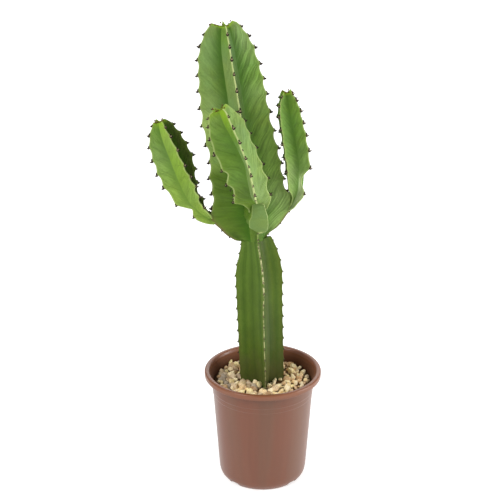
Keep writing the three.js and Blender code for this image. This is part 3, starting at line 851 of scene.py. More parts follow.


# %% [markdown]
# ## Colours of the living stems
#
# The skin is a waxy green. It is darker in the furrows, where shade is painted in, lighter on the flanks,
# and has a fine pale line along each edge. Veins climb outward, and soft patches of sage and yellow
# green lie over them.
# The newest growth at the tips is lime coloured, the teeth are brown, a few corky scars lie near the
# edges, and the foot of the upper stem is banded. The tree reads the numbers stored on the mesh, so
# the pattern grows with the rib instead of cutting through it.

# %% Living skin
VEIN_PITCH = 6.0 * MM
HAIRLINE_PITCH = 0.27 * VEIN_PITCH


def make_living_skin():
    paint = Paint("living_skin")
    outward, vein, young, tooth, line = map(paint.stored, ("outward", "vein", "young", "tooth", "line"))
    tint = paint.stored("tint", "Color")
    wander = paint.noise(45, 2) * 6
    veins = (vein * (2 * math.pi / VEIN_PITCH) + wander).wave()
    hairlines = (vein * (2 * math.pi / HAIRLINE_PITCH) + wander * 2.3).wave()
    streaks = paint.noise(1.0, 3, paint.vector(vein * 200, outward * 1.3, vein * 31))
    on_face = outward.rise(0.0, 0.25) * (1 - outward.rise(0.9, 0.98))
    broken = paint.noise(70, 2).rise(0.3, 0.6)
    pattern = (veins * 0.4 * broken + hairlines * 0.2 + streaks.rise(0.35, 0.65) * 0.9 - 0.65) * on_face
    clouds = paint.noise(22, 3)
    shade = 1 + (clouds - 0.5) * 0.5 + (paint.noise(420, 2) - 0.5) * 0.2
    shade = shade + pattern * paint.stored("veined") * 0.55
    sunned = tint.vector_maths("MULTIPLY", (1.2, 1.06, 0.75))
    colour = paint.mix(paint.noise(15, 2).rise(0.48, 0.66) * 0.35, tint, sunned)
    waxed = tint.vector_maths("MULTIPLY", (0.96, 1.03, 1.22))
    elsewhere = paint.place().vector_maths("ADD", (3, 1, 2))
    colour = paint.mix(paint.noise(19, 3, elsewhere).rise(0.5, 0.65) * 0.6, colour, waxed)
    # Painted shade in the furrows, stronger on flanks that turn away from the lamps.
    shadow = (1 - outward.rise(-0.05, 0.75)) * paint.stored("furrow")
    bands = (outward * 9 + clouds * 4).wave() * paint.stored("foot") * outward.rise(0.1, 0.4)
    colour = paint.coats(colour, (shadow * 0.9, "345C04"), (bands * 0.8, "3A5412"))
    scars = paint.noise(190, 4).rise(0.64, 0.74) * outward.rise(0.5, 0.95) * (1 - young.rise(0.1, 0.4))
    colour = paint.coats(
        colour.dimmed(shade), (outward.rise(0.72, 1.0) * 0.15, "9DB850"),
        (young.rise(0.1, 0.95) * 0.75, "8EB42C"), (line * (0.3 + paint.noise(170, 4) * 1.3), "B8C482"),
        (scars * 0.35, "8C7B55"), (tooth * 0.6, "6E5C3C"))
    relief = pattern * 0.00035 + paint.noise(600, 3) * 0.00008
    return paint.finish(colour, 0.46 - veins * 0.05 + clouds * 0.14, 0.12, relief)


# %% [markdown]
# ## The old trunk
#
# The trunk is the oldest growth. Its skin is a dark olive with soft bands along it, its edges have
# turned to pale cork in a dotted line, which is thinner and paler towards the top, and just above the
# gravel it is weathered to an olive brown. The same stored numbers drive it, and also the painted shade
# in its furrows.

# %% Trunk skin
def make_trunk_skin():
    paint = Paint("trunk_skin")
    outward, vein, tooth, line = map(paint.stored, ("outward", "vein", "tooth", "line"))
    height = paint.place().part("Z")
    long_noise = paint.noise(1.0, 3, paint.vector(outward * 5, vein * 5, 0.0))
    bands = (outward * 9 + long_noise * 5).wave()
    # Painted shade in the trunk's furrows.
    shadow = (1 - outward.rise(-0.1, 0.45)) * paint.stored("furrow")
    colour = paint.coats(paint.stored("tint", "Color"), (shadow * 0.8, "2C450A"),
                         (bands * 0.65 * outward.rise(0.1, 0.4), "3A5412"))
    colour = colour.dimmed(1 + (paint.noise(30, 4) - 0.5) * 0.6 + (paint.noise(380, 3) - 0.5) * 0.25)
    beside_edge = outward.rise(0.8, 0.95) * (1 - line)
    colour = paint.coats(colour, (outward.rise(0.55, 0.9) * 0.12, "86A04A"), (beside_edge * 0.15, "565024"))
    cork_grain = paint.noise(260, 4)
    cork = line * (line * 0.9 + cork_grain - height.rise(0.26, 0.31) * 0.06).rise(1.16, 1.34)
    cork_tone = paint.mix(height.rise(0.28, 0.32), tone("B8B682"), tone("D2CC9C"))
    colour = paint.mix(cork * 0.8, colour, cork_tone)
    weather = (1 - (height + paint.noise(45, 4) * 0.09).rise(0.205, 0.27)) * 0.45
    colour = paint.coats(colour, (tooth * 0.4, "5C5A33"), (weather, "5C5A36"))
    relief = cork * cork_grain * 0.0006 + paint.noise(300, 5) * 0.00025 + bands * 0.0002
    return paint.finish(colour, 0.5 + cork * 0.3 + weather * 0.2, 0.12, relief)


# %% Build the stems
LIVING_SKIN = make_living_skin()
TRUNK_SKIN = make_trunk_skin()
for stem_name in STEMS:
    skin = make_stem_skin(stem_name)
    is_trunk = stem_name == "trunk"
    skin.data.materials.append(TRUNK_SKIN if is_trunk else LIVING_SKIN)
    place_piece(skin, "trunk_skin" if is_trunk else "stem_skin", stem_name)

# %% [markdown]
# ## Growing repeats with Geometry Nodes
#
# Spines and stones repeat, so they are grown by node trees. `Growth` keeps what every such tree here
# shares: named inputs, whose values are set on the modifier by the socket's identifier, an ending of
# Realize Instances and Set Material, and one plain mesh as the result.

# %% Growth trees
class Growth(Tree):
    """A Geometry Nodes tree that grows shapes on a host object."""

    def __init__(self, name, **values):
        super().__init__(bpy.data.node_groups.new(name, "GeometryNodeTree"))
        interface = self.node_tree.interface
        interface.new_socket("Geometry", in_out="INPUT", socket_type="NodeSocketGeometry")
        interface.new_socket("Geometry", in_out="OUTPUT", socket_type="NodeSocketGeometry")
        self.values = {}
        for key, value in values.items():
            kind = "NodeSocketInt" if isinstance(value, int) else "NodeSocketFloat"
            socket = interface.new_socket(key, in_out="INPUT", socket_type=kind)
            self.values[socket.identifier] = value
        self.entry = self.add("NodeGroupInput")

    def given(self, name="Geometry"):
        return Signal(self, self.entry.outputs[name])

    def place(self):
        return self.node("GeometryNodeInputPosition")

    def stored(self, name, kind="FLOAT"):
        return self.node("GeometryNodeInputNamedAttribute", {"data_type": kind}, {"Name": name})

    def store(self, geometry, name, value, domain="POINT"):
        inputs = {"Geometry": geometry, "Name": name, "Value": value}
        settings = {"data_type": "FLOAT", "domain": domain}
        return self.node("GeometryNodeStoreNamedAttribute", settings, inputs)

    def join(self, *geometries):
        return self.node("GeometryNodeJoinGeometry", None, {"Geometry": list(geometries)})

    def move(self, geometry, shift=(0, 0, 0), turn=(0, 0, 0), scale=(1, 1, 1)):
        turn = tuple(math.radians(angle) for angle in turn)
        inputs = {"Geometry": geometry, "Translation": shift, "Rotation": turn, "Scale": scale}
        return self.node("GeometryNodeTransform", None, inputs)

    def draw(self, low, high, seed):
        """A random number for each element, or a random vector if low and high are vectors."""
        kind = "FLOAT_VECTOR" if isinstance(low, tuple) else "FLOAT"
        inputs = {"Min": low, "Max": high, "Seed": seed}
        return self.node("FunctionNodeRandomValue", {"data_type": kind}, inputs)

    def grow(self, host, geometry, material):
        """Ends the tree, runs it on the host and leaves the host with the grown mesh."""
        real = self.node("GeometryNodeRealizeInstances", None, {"Geometry": geometry})
        painted = self.node("GeometryNodeSetMaterial", None, {"Geometry": real, "Material": material})
        self.add("NodeGroupOutput", None, {"Geometry": painted})
        modifier = host.modifiers.new("growth", "NODES")
        modifier.node_group = self.node_tree
        for identifier, value in self.values.items():
            modifier[identifier] = value
        grown = host.evaluated_get(bpy.context.evaluated_depsgraph_get())
        mesh = bpy.data.meshes.new_from_object(grown)
        host.modifiers.remove(modifier)
        host.data = mesh
        return host


# %% [markdown]
# ## Spines and their cushions
#
# Every tooth carries a horny cushion with a bud on top and a pair of short spines below, which stand
# out and slightly up. One such unit is built in the tree and put on points that mark the teeth. Each
# point stores where its outward and upward directions lie, how large the unit is and how old. The ones
# round the growing tip are small and reddish.

# %% Thorn points
SLOPE_SPAN = 1.5
SHARE_OF_AGE = 0.05
YOUNG_SIZE = 0.72
SPUR_SIZE = 0.6
CROWN_RINGS = ((0.78, 0.56), (0.5, 0.46), (0.24, 0.42))
CROWN_TURN = 0.5
CROWN_LEAN = 0.5
CROWN_CUSHION_LIFT = 0.6


def tooth_points(name):
    """Place, outward direction, upward direction, size and age of each cushion on a stem."""
    stem, path = STEMS[name], PATHS[name]
    found = []
    for rib in range(4):
        places, spurs = tooth_places(name, rib), option(name, "spurs", rib, ())
        small = np.array([1.0] * len(places) + [SPUR_SIZE] * len(spurs))
        places = np.concatenate([places, spurs])
        up, front, right = path.directions(places)
        bearing = bearing_of(name, rib, places)[:, None]
        outward = front * np.cos(bearing) + right * np.sin(bearing)
        lower, edge, upper = (path.centre(s) + outward * reach_of(name, rib, s)[:, None]
                              + up * tip_rise(name, rib, s)[:, None]
                              for s in (places - SLOPE_SPAN, places, places + SLOPE_SPAN))
        climb = unit(upper - lower)
        outward = unit(outward - climb * (outward * climb).sum(axis=1)[:, None])
        age = np.clip((path.length - places) * SHARE_OF_AGE, 0, 1)
        size = stem["thorn"] * (YOUNG_SIZE + (1 - YOUNG_SIZE) * age) * small
        found += zip(edge, outward, climb, size, age)
    return found


def crown_points(name):
    """The same for three rings of small cushions round the growing tip."""
    path = PATHS[name]
    end = np.array([path.length])
    up, front, right = (v[0] for v in path.directions(end))
    found = []
    for share, size in CROWN_RINGS:
        for rib in range(4):
            bearing = bearing_of(name, rib, end)[0] + CROWN_TURN * share
            inward = -(front * math.cos(bearing) + right * math.sin(bearing))
            out = reach_of(name, rib, end)[0] * share
            lift = (CROWN_CUSHION_LIFT + tip_rise(name, rib, end)[0] * share
                    - crown_sink(name, end, out)[0])
            place = path.centre(end)[0] - inward * out + up * lift
            found.append((place, unit(up - inward * CROWN_LEAN * share), inward, size, 0.0))
    return found


# %% [markdown]
# A number called `part` is stored on the unit and picks its colours: it runs over the cushion up to a
# third, marks the bud with a half, and runs from root to tip of a spine above that.

# %% Thorns
SPINE_LENGTH = 3.0 * MM
SPINE_ROOT = 0.95 * MM
SPINE_TIP = 0.06 * MM
SPINE_SIDE = 0.5 * MM
CUSHION = 0.9 * MM
BUD = 0.85 * MM
CUSHION_PART, BUD_PART, SPINE_PART = 0.33, 0.5, 0.66
SPINE_PART_SPAN = 0.34
THORN_SPREAD = (0.85, 1.15)


def make_thorn_paint():
    paint = Paint("thorns")
    part, age = paint.stored("part"), paint.stored("age")
    old = paint.ramp(part, [(0.0, "20160F"), (0.12, "2C2018"), (0.19, "5E4E3A"), (0.28, "AC9C7C"),
                            (0.36, "281A12"), (0.66, "1C130D"), (0.9, "281D16"), (1.0, "4A3E34")])
    new = paint.ramp(part, [(0.0, "4A2A12"), (0.2, "7A4A20"), (0.33, "B09A4C"), (0.36, "5E3216"),
                            (0.8, "6A3A18"), (1.0, "6A4A28")])
    colour = paint.mix(age.rise(0.0, 0.2), new, old).dimmed(0.75 + paint.noise(700, 3) * 0.5)
    return paint.finish(colour, 0.6, 0.15, paint.noise(900, 3) * 0.0002)


def thorn_unit(tree):
    """A cushion, its bud and two spines, with +X outward and +Z up the rib."""
    cone = tree.node("GeometryNodeMeshCone", None, {
        "Vertices": 6, "Radius Top": SPINE_TIP, "Radius Bottom": tree.given("spine_root"),
        "Depth": tree.given("spine_length")})
    along = tree.place().part("Z") * (SPINE_PART_SPAN / SPINE_LENGTH)
    cone = tree.store(cone, "part", SPINE_PART + along)
    spines = [tree.move(cone, (0.2 * MM, side * SPINE_SIDE, -0.9 * MM), (0, 80, side * 30))
              for side in (-1, 1)]
    ball = tree.node("GeometryNodeMeshUVSphere", None,
                     {"Segments": 10, "Rings": 7, "Radius": tree.given("cushion")})
    ball = tree.store(ball, "part", tree.place().part("X") * (CUSHION_PART / CUSHION))
    cushion = tree.move(ball, (-0.2 * MM, 0, -0.3 * MM), (0, 4, 0), (1.2, 1.8, 2.2))
    bud = tree.node("GeometryNodeMeshIcoSphere", None, {"Radius": BUD, "Subdivisions": 1})
    bud = tree.store(bud, "part", BUD_PART)
    bud = tree.move(bud, (-0.5 * MM, 0.5 * MM, 2.2 * MM), (0, 0, 0), (1.0, 1.1, 1.4))
    return tree.node("GeometryNodeSetShadeSmooth", None, {"Geometry": tree.join(cushion, bud, *spines)})


def make_thorns(name, points, paint):
    place, outward, climb, size, age = (np.array(column) for column in zip(*points))
    host = make_object(name, place * MM, (), {"out": outward, "climb": climb, "size": size, "age": age})
    tree = Growth(name, spine_length=SPINE_LENGTH, spine_root=SPINE_ROOT, cushion=CUSHION, seed=41)
    axes = {"Primary Axis": tree.stored("climb", "FLOAT_VECTOR"),
            "Secondary Axis": tree.stored("out", "FLOAT_VECTOR")}
    turn = tree.node("FunctionNodeAxesToRotation", {"primary_axis": "Z", "secondary_axis": "X"}, axes)
    scale = tree.stored("size") * tree.draw(*THORN_SPREAD, tree.given("seed"))
    grown = tree.node("GeometryNodeInstanceOnPoints", None, {
        "Points": tree.given(), "Instance": thorn_unit(tree), "Rotation": turn, "Scale": scale})
    return tree.grow(host, grown, paint)


THORN_PAINT = make_thorn_paint()
living = [stem_name for stem_name in STEMS if stem_name != "trunk"]
stem_points = [point for stem_name in living for point in tooth_points(stem_name)]
stem_points += [point for stem_name in living for point in crown_points(stem_name)]
place_piece(make_thorns("stem_thorns", stem_points, THORN_PAINT), "stem_skin")
place_piece(make_thorns("trunk_thorns", tooth_points("trunk"), THORN_PAINT), "trunk_skin")

# %% [markdown]
# ## The pot
#
# The pot is one plastic moulding, round but for its drain holes and the notches in its foot. It could
# be spun with a Screw modifier. Here a node tree turns the profile: a grid has one column for each
# turn and one row for each profile point, and every grid point reads its radius and height from the
# profile and is placed round the axis. Rounded corners are worked out first, so the rim catches the
# light in a thin line.

# %% Pot profile
RIM_RADIUS = 85
RIM_INNER_RADIUS = 77.5
POT_HEIGHT = 170
FLOOR_TOP = 6
WALL_FOOT_RADIUS = 63.7
WALL_FOOT = 15
WALL_TAPER = 0.074
WALL = 2
COLLAR_FOOT = 142
BEAD_FOOT = 134.5


def wall_radius(height):
    return WALL_FOOT_RADIUS + WALL_TAPER * (height - WALL_FOOT)


OUTSIDE = [(0, 0, 0), (40, 0, 1), (41.5, 3.5, 1), (50.5, 3.5, 1), (52, 0, 0.8), (56.5, 0, 4),
           (62.2, 7.5, 9), (WALL_FOOT_RADIUS, WALL_FOOT, 12),
           (wall_radius(BEAD_FOOT), BEAD_FOOT, 0.4), (wall_radius(BEAD_FOOT) + 0.5, BEAD_FOOT + 0.8, 0.4),
           (wall_radius(COLLAR_FOOT) + 0.3, COLLAR_FOOT, 0.4), (74, COLLAR_FOOT + 0.9, 0.5),
           (74.2, 161, 4), (77, 166.2, 2.5), (83, 166.2, 0.6), (83.2, 162, 0.5),
           (RIM_RADIUS, 162, 0.9), (RIM_RADIUS, POT_HEIGHT, 2.6)]
INSIDE = [(RIM_INNER_RADIUS + 0.6, POT_HEIGHT, 2.4), (RIM_INNER_RADIUS - 1.4, 164.5, 2), (72.6, 158, 5),
          (wall_radius(COLLAR_FOOT) - WALL, COLLAR_FOOT, 6),
          (61.7, WALL_FOOT, 8), (57.5, FLOOR_TOP, 5), (0, FLOOR_TOP, 0)]
CORNER_STEPS = 5
WALL_ROWS = 8
LONG_STRETCH = 20
CORNER_ROOM = 0.48


def rounded(corners):
    """Replaces each corner (radius, height, rounding) by a short curve, and splits long stretches."""
    spots = [np.array(corner[:2], float) for corner in corners]
    line = [spots[0]]
    for k in range(1, len(spots) - 1):
        before, here, after = spots[k - 1:k + 2]
        room = min(np.linalg.norm(before - here), np.linalg.norm(after - here)) * CORNER_ROOM
        cut = min(corners[k][2], room)
        start = here + (before - here) / np.linalg.norm(before - here) * cut
        end = here + (after - here) / np.linalg.norm(after - here) * cut
        long = np.linalg.norm(start - line[-1]) > LONG_STRETCH
        for f in np.linspace(0, 1, WALL_ROWS + 1)[1:-1] if long else ():
            line.append(line[-1] + (start - line[-1]) * f)
        for f in np.linspace(0, 1, CORNER_STEPS):
            line.append((1 - f) ** 2 * start + 2 * f * (1 - f) * here + f**2 * end)
    return np.array([*line, spots[-1]])


# %% Pot body
POT_TURNS = 160
NOTCH_ANGLES = (-45.5, 48, 134.5, 235)
NOTCH = dict(radius=9, depth=12, circle=57.5, squash=0.9)
DRAIN_HOLES = 8
DRAIN = dict(radius=3.6, depth=20, circle=46, squash=1)
WITHIN_TOP = 165.5
SAME_PLACE = 0.02 * MM


def drill(tree, angle, radius, depth, circle, squash):
    """An upright cylinder through the pot's floor, half of it below the ground."""
    rod = tree.node("GeometryNodeMeshCylinder", None, {
        "Vertices": 24, "Radius": radius * MM, "Depth": depth * MM})
    turn = math.radians(angle)
    shift = (circle * math.cos(turn) * MM, circle * math.sin(turn) * MM, 0)
    return tree.move(rod, shift, (0, 0, angle), (squash, 1, 1))


def make_pot(paint):
    profile = rounded(OUTSIDE + INSIDE)
    radii, heights = profile.T
    within = (np.arange(len(profile)) > np.argmax(heights)) & (heights < WITHIN_TOP)
    line = np.column_stack([radii, np.zeros(len(profile)), heights]) * MM
    host = make_object("pot_body", line, (), {"inner": within.astype(float)})
    tree = Growth("pot_body", turns=POT_TURNS)
    count = tree.node("GeometryNodeAttributeDomainSize", None, {"Geometry": tree.given()})
    grid = tree.node("GeometryNodeMeshGrid", None, {
        "Size X": 1.0, "Size Y": 1.0, "Vertices X": tree.given("turns") + 1, "Vertices Y": count})
    index = tree.node("GeometryNodeInputIndex")
    column = tree.maths("FLOOR", (index + 0.5) / count)
    row = index - column * count
    angle = column * (2 * math.pi) * (1.0 / tree.given("turns"))

    def read(kind, value):
        inputs = {"Geometry": tree.given(), "Value": value, "Index": row}
        return tree.node("GeometryNodeSampleIndex", {"data_type": kind}, inputs)

    spot, inner = read("FLOAT_VECTOR", tree.place()), read("FLOAT", tree.stored("inner"))
    radius = spot.part("X")
    place = tree.vector(radius * tree.maths("COSINE", angle), radius * tree.maths("SINE", angle),
                        spot.part("Z"))
    grid = tree.store(grid, "within", inner)
    wall = tree.node("GeometryNodeSetPosition", None, {"Geometry": grid, "Position": place})
    wall = tree.node("GeometryNodeMergeByDistance", None, {"Geometry": wall, "Distance": SAME_PLACE})
    tools = [drill(tree, 360 * k / DRAIN_HOLES, **DRAIN) for k in range(DRAIN_HOLES)]
    tools += [drill(tree, bearing - 90, **NOTCH) for bearing in NOTCH_ANGLES]
    cut = tree.node("GeometryNodeMeshBoolean", {"operation": "DIFFERENCE", "solver": "EXACT"},
                    {"Mesh 1": wall, "Mesh 2": tools})
    return tree.grow(host, cut, paint)


# %% [markdown]
# ## Pot plastic
#
# Recycled brown plastic has a satin gloss. Its colour runs in faint upright streaks from the mould. The
# rim's top carries a painted highlight, and the inside is darker, by painted shade, and duller.

# %% Pot plastic
SHARP_CORNER = 40


def make_pot_plastic():
    paint = Paint("pot_plastic")
    place, within = paint.place(), paint.stored("within")
    upright = place.vector_maths("MULTIPLY", (1, 1, 0.06))
    streaks = paint.noise(26, 3, upright)
    colour = paint.mix(streaks.rise(0.35, 0.65), tone("70402A"), tone("6C4530"))
    colour = colour.dimmed(0.9 + paint.noise(120, 3, upright) * 0.2)
    # A painted highlight on the rim's top, and painted shade on the inside wall.
    rim_highlight = place.part("Z").rise(0.158, 0.169)
    colour = paint.coats(colour, (within * 0.9, "5A300C"), (rim_highlight * 0.45, "945A38"))
    return paint.finish(colour, 0.28 + streaks * 0.06 + within * 0.5, 0.5, paint.noise(900, 2) * 0.00005)


pot = make_pot(make_pot_plastic())
pot.data.set_sharp_from_angle(angle=math.radians(SHARP_CORNER))
place_piece(pot, "pot_plastic", "pot")

# %% [markdown]
# ## Gravel
#
# The soil is covered with crushed stone. A tree scatters points over the bed, no two too close, and
# puts one of several stones on each. A stone is the convex hull of a few scattered points, which is
# just how crushed stone looks, with its corners then worn a little by one creased subdivision. A
# second, lower layer fills the gaps, and a few chosen stones lie where the eye goes first. The numbers
# stored on the bed say how much room a stone has there before it meets the trunk or the wall.

# %% Gravel bed
BED_TOP = 151
BED_FOOT = 138.8
BED_RADIUS = 70.6
TRUNK_GAP = 1.2
TRUNK_OVERLAP = 2.6
BED_SPOKES = 120
BED_RINGS = 9


def trunk_outline(height, angles):
    """The trunk's radius round the pot's axis at a height, towards each of these angles."""
    s = np.array([height - STEMS["trunk"]["path"][0][2]], float)
    columns = [column for rib in range(4) for column in rib_columns("trunk", rib, s)]
    ahead, aside = ring_offsets(columns, s)
    centre = PATHS["trunk"].centre(s)[0]
    x, y = centre[0] + aside[0], centre[1] - ahead[0]
    around = np.arctan2(y, x)
    order = np.argsort(around)
    return np.interp(angles, around[order], np.hypot(x, y)[order], period=2 * math.pi)


def make_bed():
    """A closed ring of soil between the trunk and the wall, with its room for stones stored on it."""
    angles = np.linspace(-math.pi, math.pi, BED_SPOKES, endpoint=False)
    inner = trunk_outline(BED_TOP, angles) + TRUNK_GAP
    points, room, faces = [], [], []
    for level, shares in ((BED_TOP, np.linspace(0, 1, BED_RINGS)), (BED_FOOT, (1.0, 0.0))):
        for share in shares:
            radius = inner + (BED_RADIUS - inner) * share
            points.append(np.column_stack([radius * np.cos(angles), radius * np.sin(angles),
                                           np.full(BED_SPOKES, level)]))
            open_room = np.minimum(radius - inner + TRUNK_OVERLAP, BED_RADIUS - radius)
            room.append(open_room * (level == BED_TOP))
    for loop in range(len(points)):
        here, after = loop * BED_SPOKES, (loop + 1) % len(points) * BED_SPOKES
        for k in range(BED_SPOKES):
            beside = (k + 1) % BED_SPOKES
            faces.append((here + k, after + k, after + beside, here + beside))
    return np.vstack(points), faces, np.concatenate(room)


# %% [markdown]
# The chosen stones are given as (x, y, length, hue). Each layer of the others says how high its stones
# lie over the bed, how much room they need, and how far they stay from the chosen ones. Stones to the
# right are a little smaller, and paler, partly as painted light.

# %% Stones
CHOSEN_STONES = [
    (-60, 23, 9, 0.2), (-57, 3, 13, 0.02), (-54, 33, 8, 0.5), (-47, 31, 9, 0.62), (-40, 44, 11, 0.8),
    (-47, 52, 9, 0.74), (-31, -26, 14, 0.97), (-44, -30, 7, 0.7), (-46, -10, 11, 0.9), (-20, -17, 11, 0.1),
    (-12, -25, 10, 0.06), (-22, -32, 8, 0.86), (10, -22, 9, 0.78), (17, -14, 9, 0.72), (22, -25, 11, 0.76),
    (31, -14, 8, 0.5), (11, -36, 8, 0.66), (-2, -42, 9, 0.4), (36, -34, 10, 0.58), (-60, -12, 9, 0.84)]
CHOSEN_LIFT = 1.5
CHOSEN_LIFT_SHARE = 0.2
CHOSEN_SCALE = 1.2
LAYERS = ((2.6, 2.6, 5.4), (-1.8, 2.0, 2.5))
LAYER_SPREAD = 1.0
STONE_KINDS = 9
STONE_CORNERS = 10
STONE_EGG = (0.5, 0.42, 0.36)
CORNER_JITTER = 0.5
CORNER_CREASE = 0.8
GOLDEN_TURN = 2.39996
MEAN_STONE = 12.6
STONE_SPREAD = (0.6, 1.3)
STONE_SPACING = 8.3
STONE_DENSITY = 90000.0
STONE_HALF = 0.62
STONE_OVERLAP = 1.0
STONE_TILT = 0.9
SMALLER_RIGHT = 2.2
PALER_RIGHT = 3.0


def stone_kind(tree, seed):
    """One stone, about 1 long: the hull of corners spread over an egg, then worn a little."""
    cloud = tree.node("GeometryNodePoints", None, {"Count": STONE_CORNERS})
    index = tree.node("GeometryNodeInputIndex")
    level = index * (2 / (STONE_CORNERS - 1)) - 1
    girth = tree.maths("SQRT", 1.001 - level * level)
    angle = index * GOLDEN_TURN
    even = tree.vector(girth * tree.maths("COSINE", angle), girth * tree.maths("SINE", angle), level)
    jitter = tree.draw((-CORNER_JITTER,) * 3, (CORNER_JITTER,) * 3, seed)
    egg = even.vector_maths("ADD", jitter).vector_maths("MULTIPLY", STONE_EGG)
    cloud = tree.node("GeometryNodeSetPosition", None, {"Geometry": cloud, "Position": egg})
    hull = tree.node("GeometryNodeConvexHull", None, {"Geometry": cloud})
    worn = tree.node("GeometryNodeSubdivisionSurface", None,
                     {"Mesh": hull, "Level": 1, "Edge Crease": CORNER_CREASE})
    flat = tree.node("GeometryNodeSetShadeSmooth", None, {"Geometry": worn, "Shade Smooth": False})
    return tree.node("GeometryNodeGeometryToInstance", None, {"Geometry": flat})


def stone_layer(tree, number, chosen):
    """Scattered points with a size and a hue, clear of the chosen stones."""
    lift, margin, clear = (size * MM for size in LAYERS[number])
    seed, room = tree.given("seed"), tree.stored("room")
    points = tree.node("GeometryNodeDistributePointsOnFaces", {"distribute_method": "POISSON"}, {
        "Mesh": tree.given(), "Selection": tree.maths("GREATER_THAN", room, margin),
        "Distance Min": tree.given("spacing"), "Density Max": STONE_DENSITY, "Seed": seed + number})
    near = tree.node("GeometryNodeProximity", {"target_element": "POINTS"}, {0: chosen}, "Distance")
    points = tree.node("GeometryNodeDeleteGeometry", {"domain": "POINT"},
                       {"Geometry": points, "Selection": tree.maths("LESS_THAN", near, clear)})
    to_right = tree.place().part("X")
    length = tree.given("stone_length") * tree.draw(*STONE_SPREAD, seed + 10 + number)
    length = length * (1 - to_right * SMALLER_RIGHT)
    length = tree.maths("MINIMUM", length, (room + STONE_OVERLAP * MM) * (1 / STONE_HALF))
    points = tree.store(points, "size", length)
    # Paler tones towards the right, partly painted light.
    hue = tree.draw(0.12, 0.9, seed + 20 + number) + to_right * PALER_RIGHT
    points = tree.store(points, "hue", hue)
    low, high = ((0.0, 0.0, lift + side * LAYER_SPREAD * MM) for side in (-1, 1))
    shift = tree.draw(low, high, seed + 30)
    return tree.node("GeometryNodeSetPosition", None, {"Geometry": points, "Offset": shift})


def make_gravel(paint):
    bed, faces, room = make_bed()
    x, y, length, tint = np.array(CHOSEN_STONES).T
    none = np.zeros(len(bed))
    points = np.vstack([bed, np.column_stack([x, y, BED_TOP + CHOSEN_LIFT + CHOSEN_LIFT_SHARE * length])])
    host = make_object("gravel_stones", points * MM, faces, {
        "room": np.concatenate([room, 0 * x]) * MM, "hue": np.concatenate([none, tint]),
        "size": np.concatenate([none, length * CHOSEN_SCALE]) * MM})
    tree = Growth("gravel_stones", spacing=STONE_SPACING * MM, stone_length=MEAN_STONE * MM, seed=7)
    seed = tree.given("seed")
    kinds = tree.join(*[stone_kind(tree, 100 + k) for k in range(STONE_KINDS)])
    is_chosen = {"Geometry": tree.given(), "Selection": tree.stored("size")}
    chosen = tree.node("GeometryNodeSeparateGeometry", {"domain": "POINT"}, is_chosen, "Selection")
    points = tree.join(chosen, *[stone_layer(tree, number, chosen) for number in range(len(LAYERS))])
    turn = tree.draw((-STONE_TILT, -STONE_TILT, 0.0), (STONE_TILT, STONE_TILT, 6.28), seed + 40)
    grown = tree.node("GeometryNodeInstanceOnPoints", None, {
        "Points": points, "Instance": kinds, "Pick Instance": True,
        "Instance Index": tree.draw(0.0, STONE_KINDS - 0.01, seed + 50),
        "Rotation": tree.node("FunctionNodeEulerToRotation", None, {"Euler": turn}),
        "Scale": tree.stored("size")})
    stones = tree.store(grown, "stone", 1.0, "INSTANCE")
    soil = tree.node("GeometryNodeDeleteGeometry", {"domain": "POINT"}, is_chosen)
    return tree.grow(host, tree.join(soil, stones), paint)


# %% [markdown]
# ## Stone colours
#
# Every stone carries one number, its hue, which picks a tone from a short palette of grey, tan,
# sand and cream. Mottling and fine grain lie over it. Stones to the right and in front are painted
# paler, as painted light, and a limit keeps the palest ones a warm cream. Where there is no stone, the
# bed shows dark soil.

# %% Stone paint
STONE_TONES = ("9E907E", "B49E82", "C8B08C", "A0805C", "DCC294", "B89468", "EAD6AA", "F4E2B6",
               "F2E0A2", "E6CE94", "E0C292")
PAINTED_LIGHT_TOWARDS = (3.5, -2.4, 0.0)
PALEST = (0.97, 0.82, 0.54)


def make_stone_paint():
    paint = Paint("gravel")
    hue, stone = paint.stored("hue"), paint.stored("stone")
    stops = [(k / len(STONE_TONES), code) for k, code in enumerate(STONE_TONES)]
    colour = paint.coats(paint.ramp(hue, stops, "CONSTANT"),
                         (paint.noise(170, 4).rise(0.4, 0.7) * 0.35, "F4E4C4"),
                         (paint.noise(420, 4).rise(0.5, 0.7) * 0.45, "866A4C"))
    # Painted light: stones grow brighter towards the right and the front.
    painted_light = paint.place().vector_maths("DOT_PRODUCT", PAINTED_LIGHT_TOWARDS)
    colour = colour.dimmed(1.05 + paint.noise(900, 2) * 0.28 + painted_light).vector_maths("MINIMUM", PALEST)
    colour = paint.coats(colour, (1 - stone, "5A4020"))
    return paint.finish(colour, 0.82, 0.3, paint.noise(700, 4) * 0.0006)


place_piece(make_gravel(make_stone_paint()), "gravel", "gravel")

# %% [markdown]
# ## Soil
#
# The potting soil fills the pot below the stones and shows only through the drain holes. Its CAD solid
# has the right shape, so it stays and gets an earthy material.

# %% Soil
def make_soil_paint():
    paint = Paint("potting_soil")
    crumbs = paint.node("ShaderNodeTexVoronoi", None, {"Vector": paint.place(), "Scale": 330})
    colour = paint.mix(crumbs.rise(0.1, 0.6), tone("1E140C"), tone("4A3423"))
    colour = paint.coats(colour, (paint.noise(500, 4).rise(0.62, 0.7) * 0.6, "7A5C3E"))
    return paint.finish(colour, 0.95, 0.2, crumbs * 0.001)


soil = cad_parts["soil"]
soil.data.materials.clear()
soil.data.materials.append(make_soil_paint())
print("soil painted")

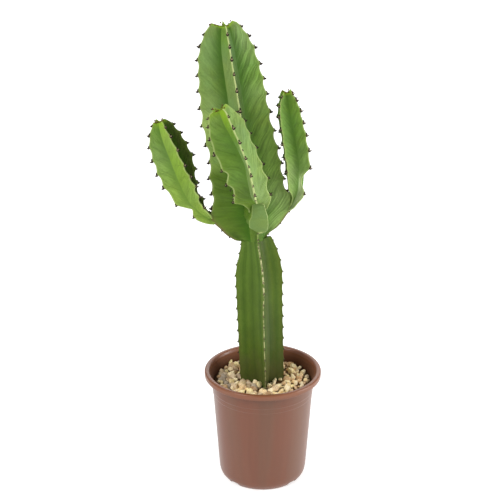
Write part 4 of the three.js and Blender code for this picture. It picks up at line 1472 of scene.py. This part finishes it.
# %% [markdown]
# ## Light and floor
#
# The plant was photographed on white under large soft lamps. A white world gives light from all
# sides, and is brighter to the camera, so that the background stays white. One broad sun from the
# upper left models the ribs and a weak one from the right opens the shadows. A strip at the right and
# one behind give the pot its pale reflections. The floor is white paper that glows a little.

# %% Studio
WORLD_LIGHT = 0.5
WORLD_LIGHT_SEEN = 0.6
FLOOR_HALF = 9


def aim(lamp, place, target):
    lamp.location = place
    direction = Vector(target) - Vector(place)
    lamp.rotation_euler = direction.to_track_quat("-Z", "Y").to_euler()
    scene.collection.objects.link(lamp)


def make_strip(name, place, size, power):
    data = bpy.data.lights.new(name, "AREA")
    data.shape = "RECTANGLE"
    data.size, data.size_y = size
    data.energy = power
    aim(bpy.data.objects.new(name, data), place, (0, 0, 0.2))


def make_sun(name, place, spread, power):
    data = bpy.data.lights.new(name, "SUN")
    data.angle = math.radians(spread)
    data.energy = power
    aim(bpy.data.objects.new(name, data), place, (0, 0, 0))


def make_world():
    world = bpy.data.worlds.new("white studio")
    world.use_nodes = True
    background = world.node_tree.nodes["Background"]
    background.inputs["Color"].default_value = (1, 1, 1, 1)
    seen = Tree(world.node_tree).node("ShaderNodeLightPath", output="Is Camera Ray")
    strength = WORLD_LIGHT + seen * WORLD_LIGHT_SEEN
    world.node_tree.links.new(strength.socket, background.inputs["Strength"])
    scene.world = world


def make_floor():
    corners = [(x * FLOOR_HALF, y * FLOOR_HALF, 0) for x, y in ((-1, -1), (1, -1), (1, 1), (-1, 1))]
    floor = make_object("floor", corners, [(0, 1, 2, 3)])
    glow = {"Emission Color": (1, 1, 1, 1), "Emission Strength": 0.55}
    floor.data.materials.append(Paint("floor_paper").finish(tone("E4E4E4"), 0.9, 0.0, None, glow))


make_world()
make_sun("key", (-1.5, -1.25, 1.6), 35, 1.6)
make_sun("fill", (1.8, -1.2, 1.1), 50, 0.35)
make_strip("right strip", (1.1, -0.1, 0.5), (0.3, 1.2), 9)
make_strip("back strip", (0.2, 2.3, 1.2), (1.8, 0.5), 8)
make_floor()
scene.view_settings.view_transform = "Standard"
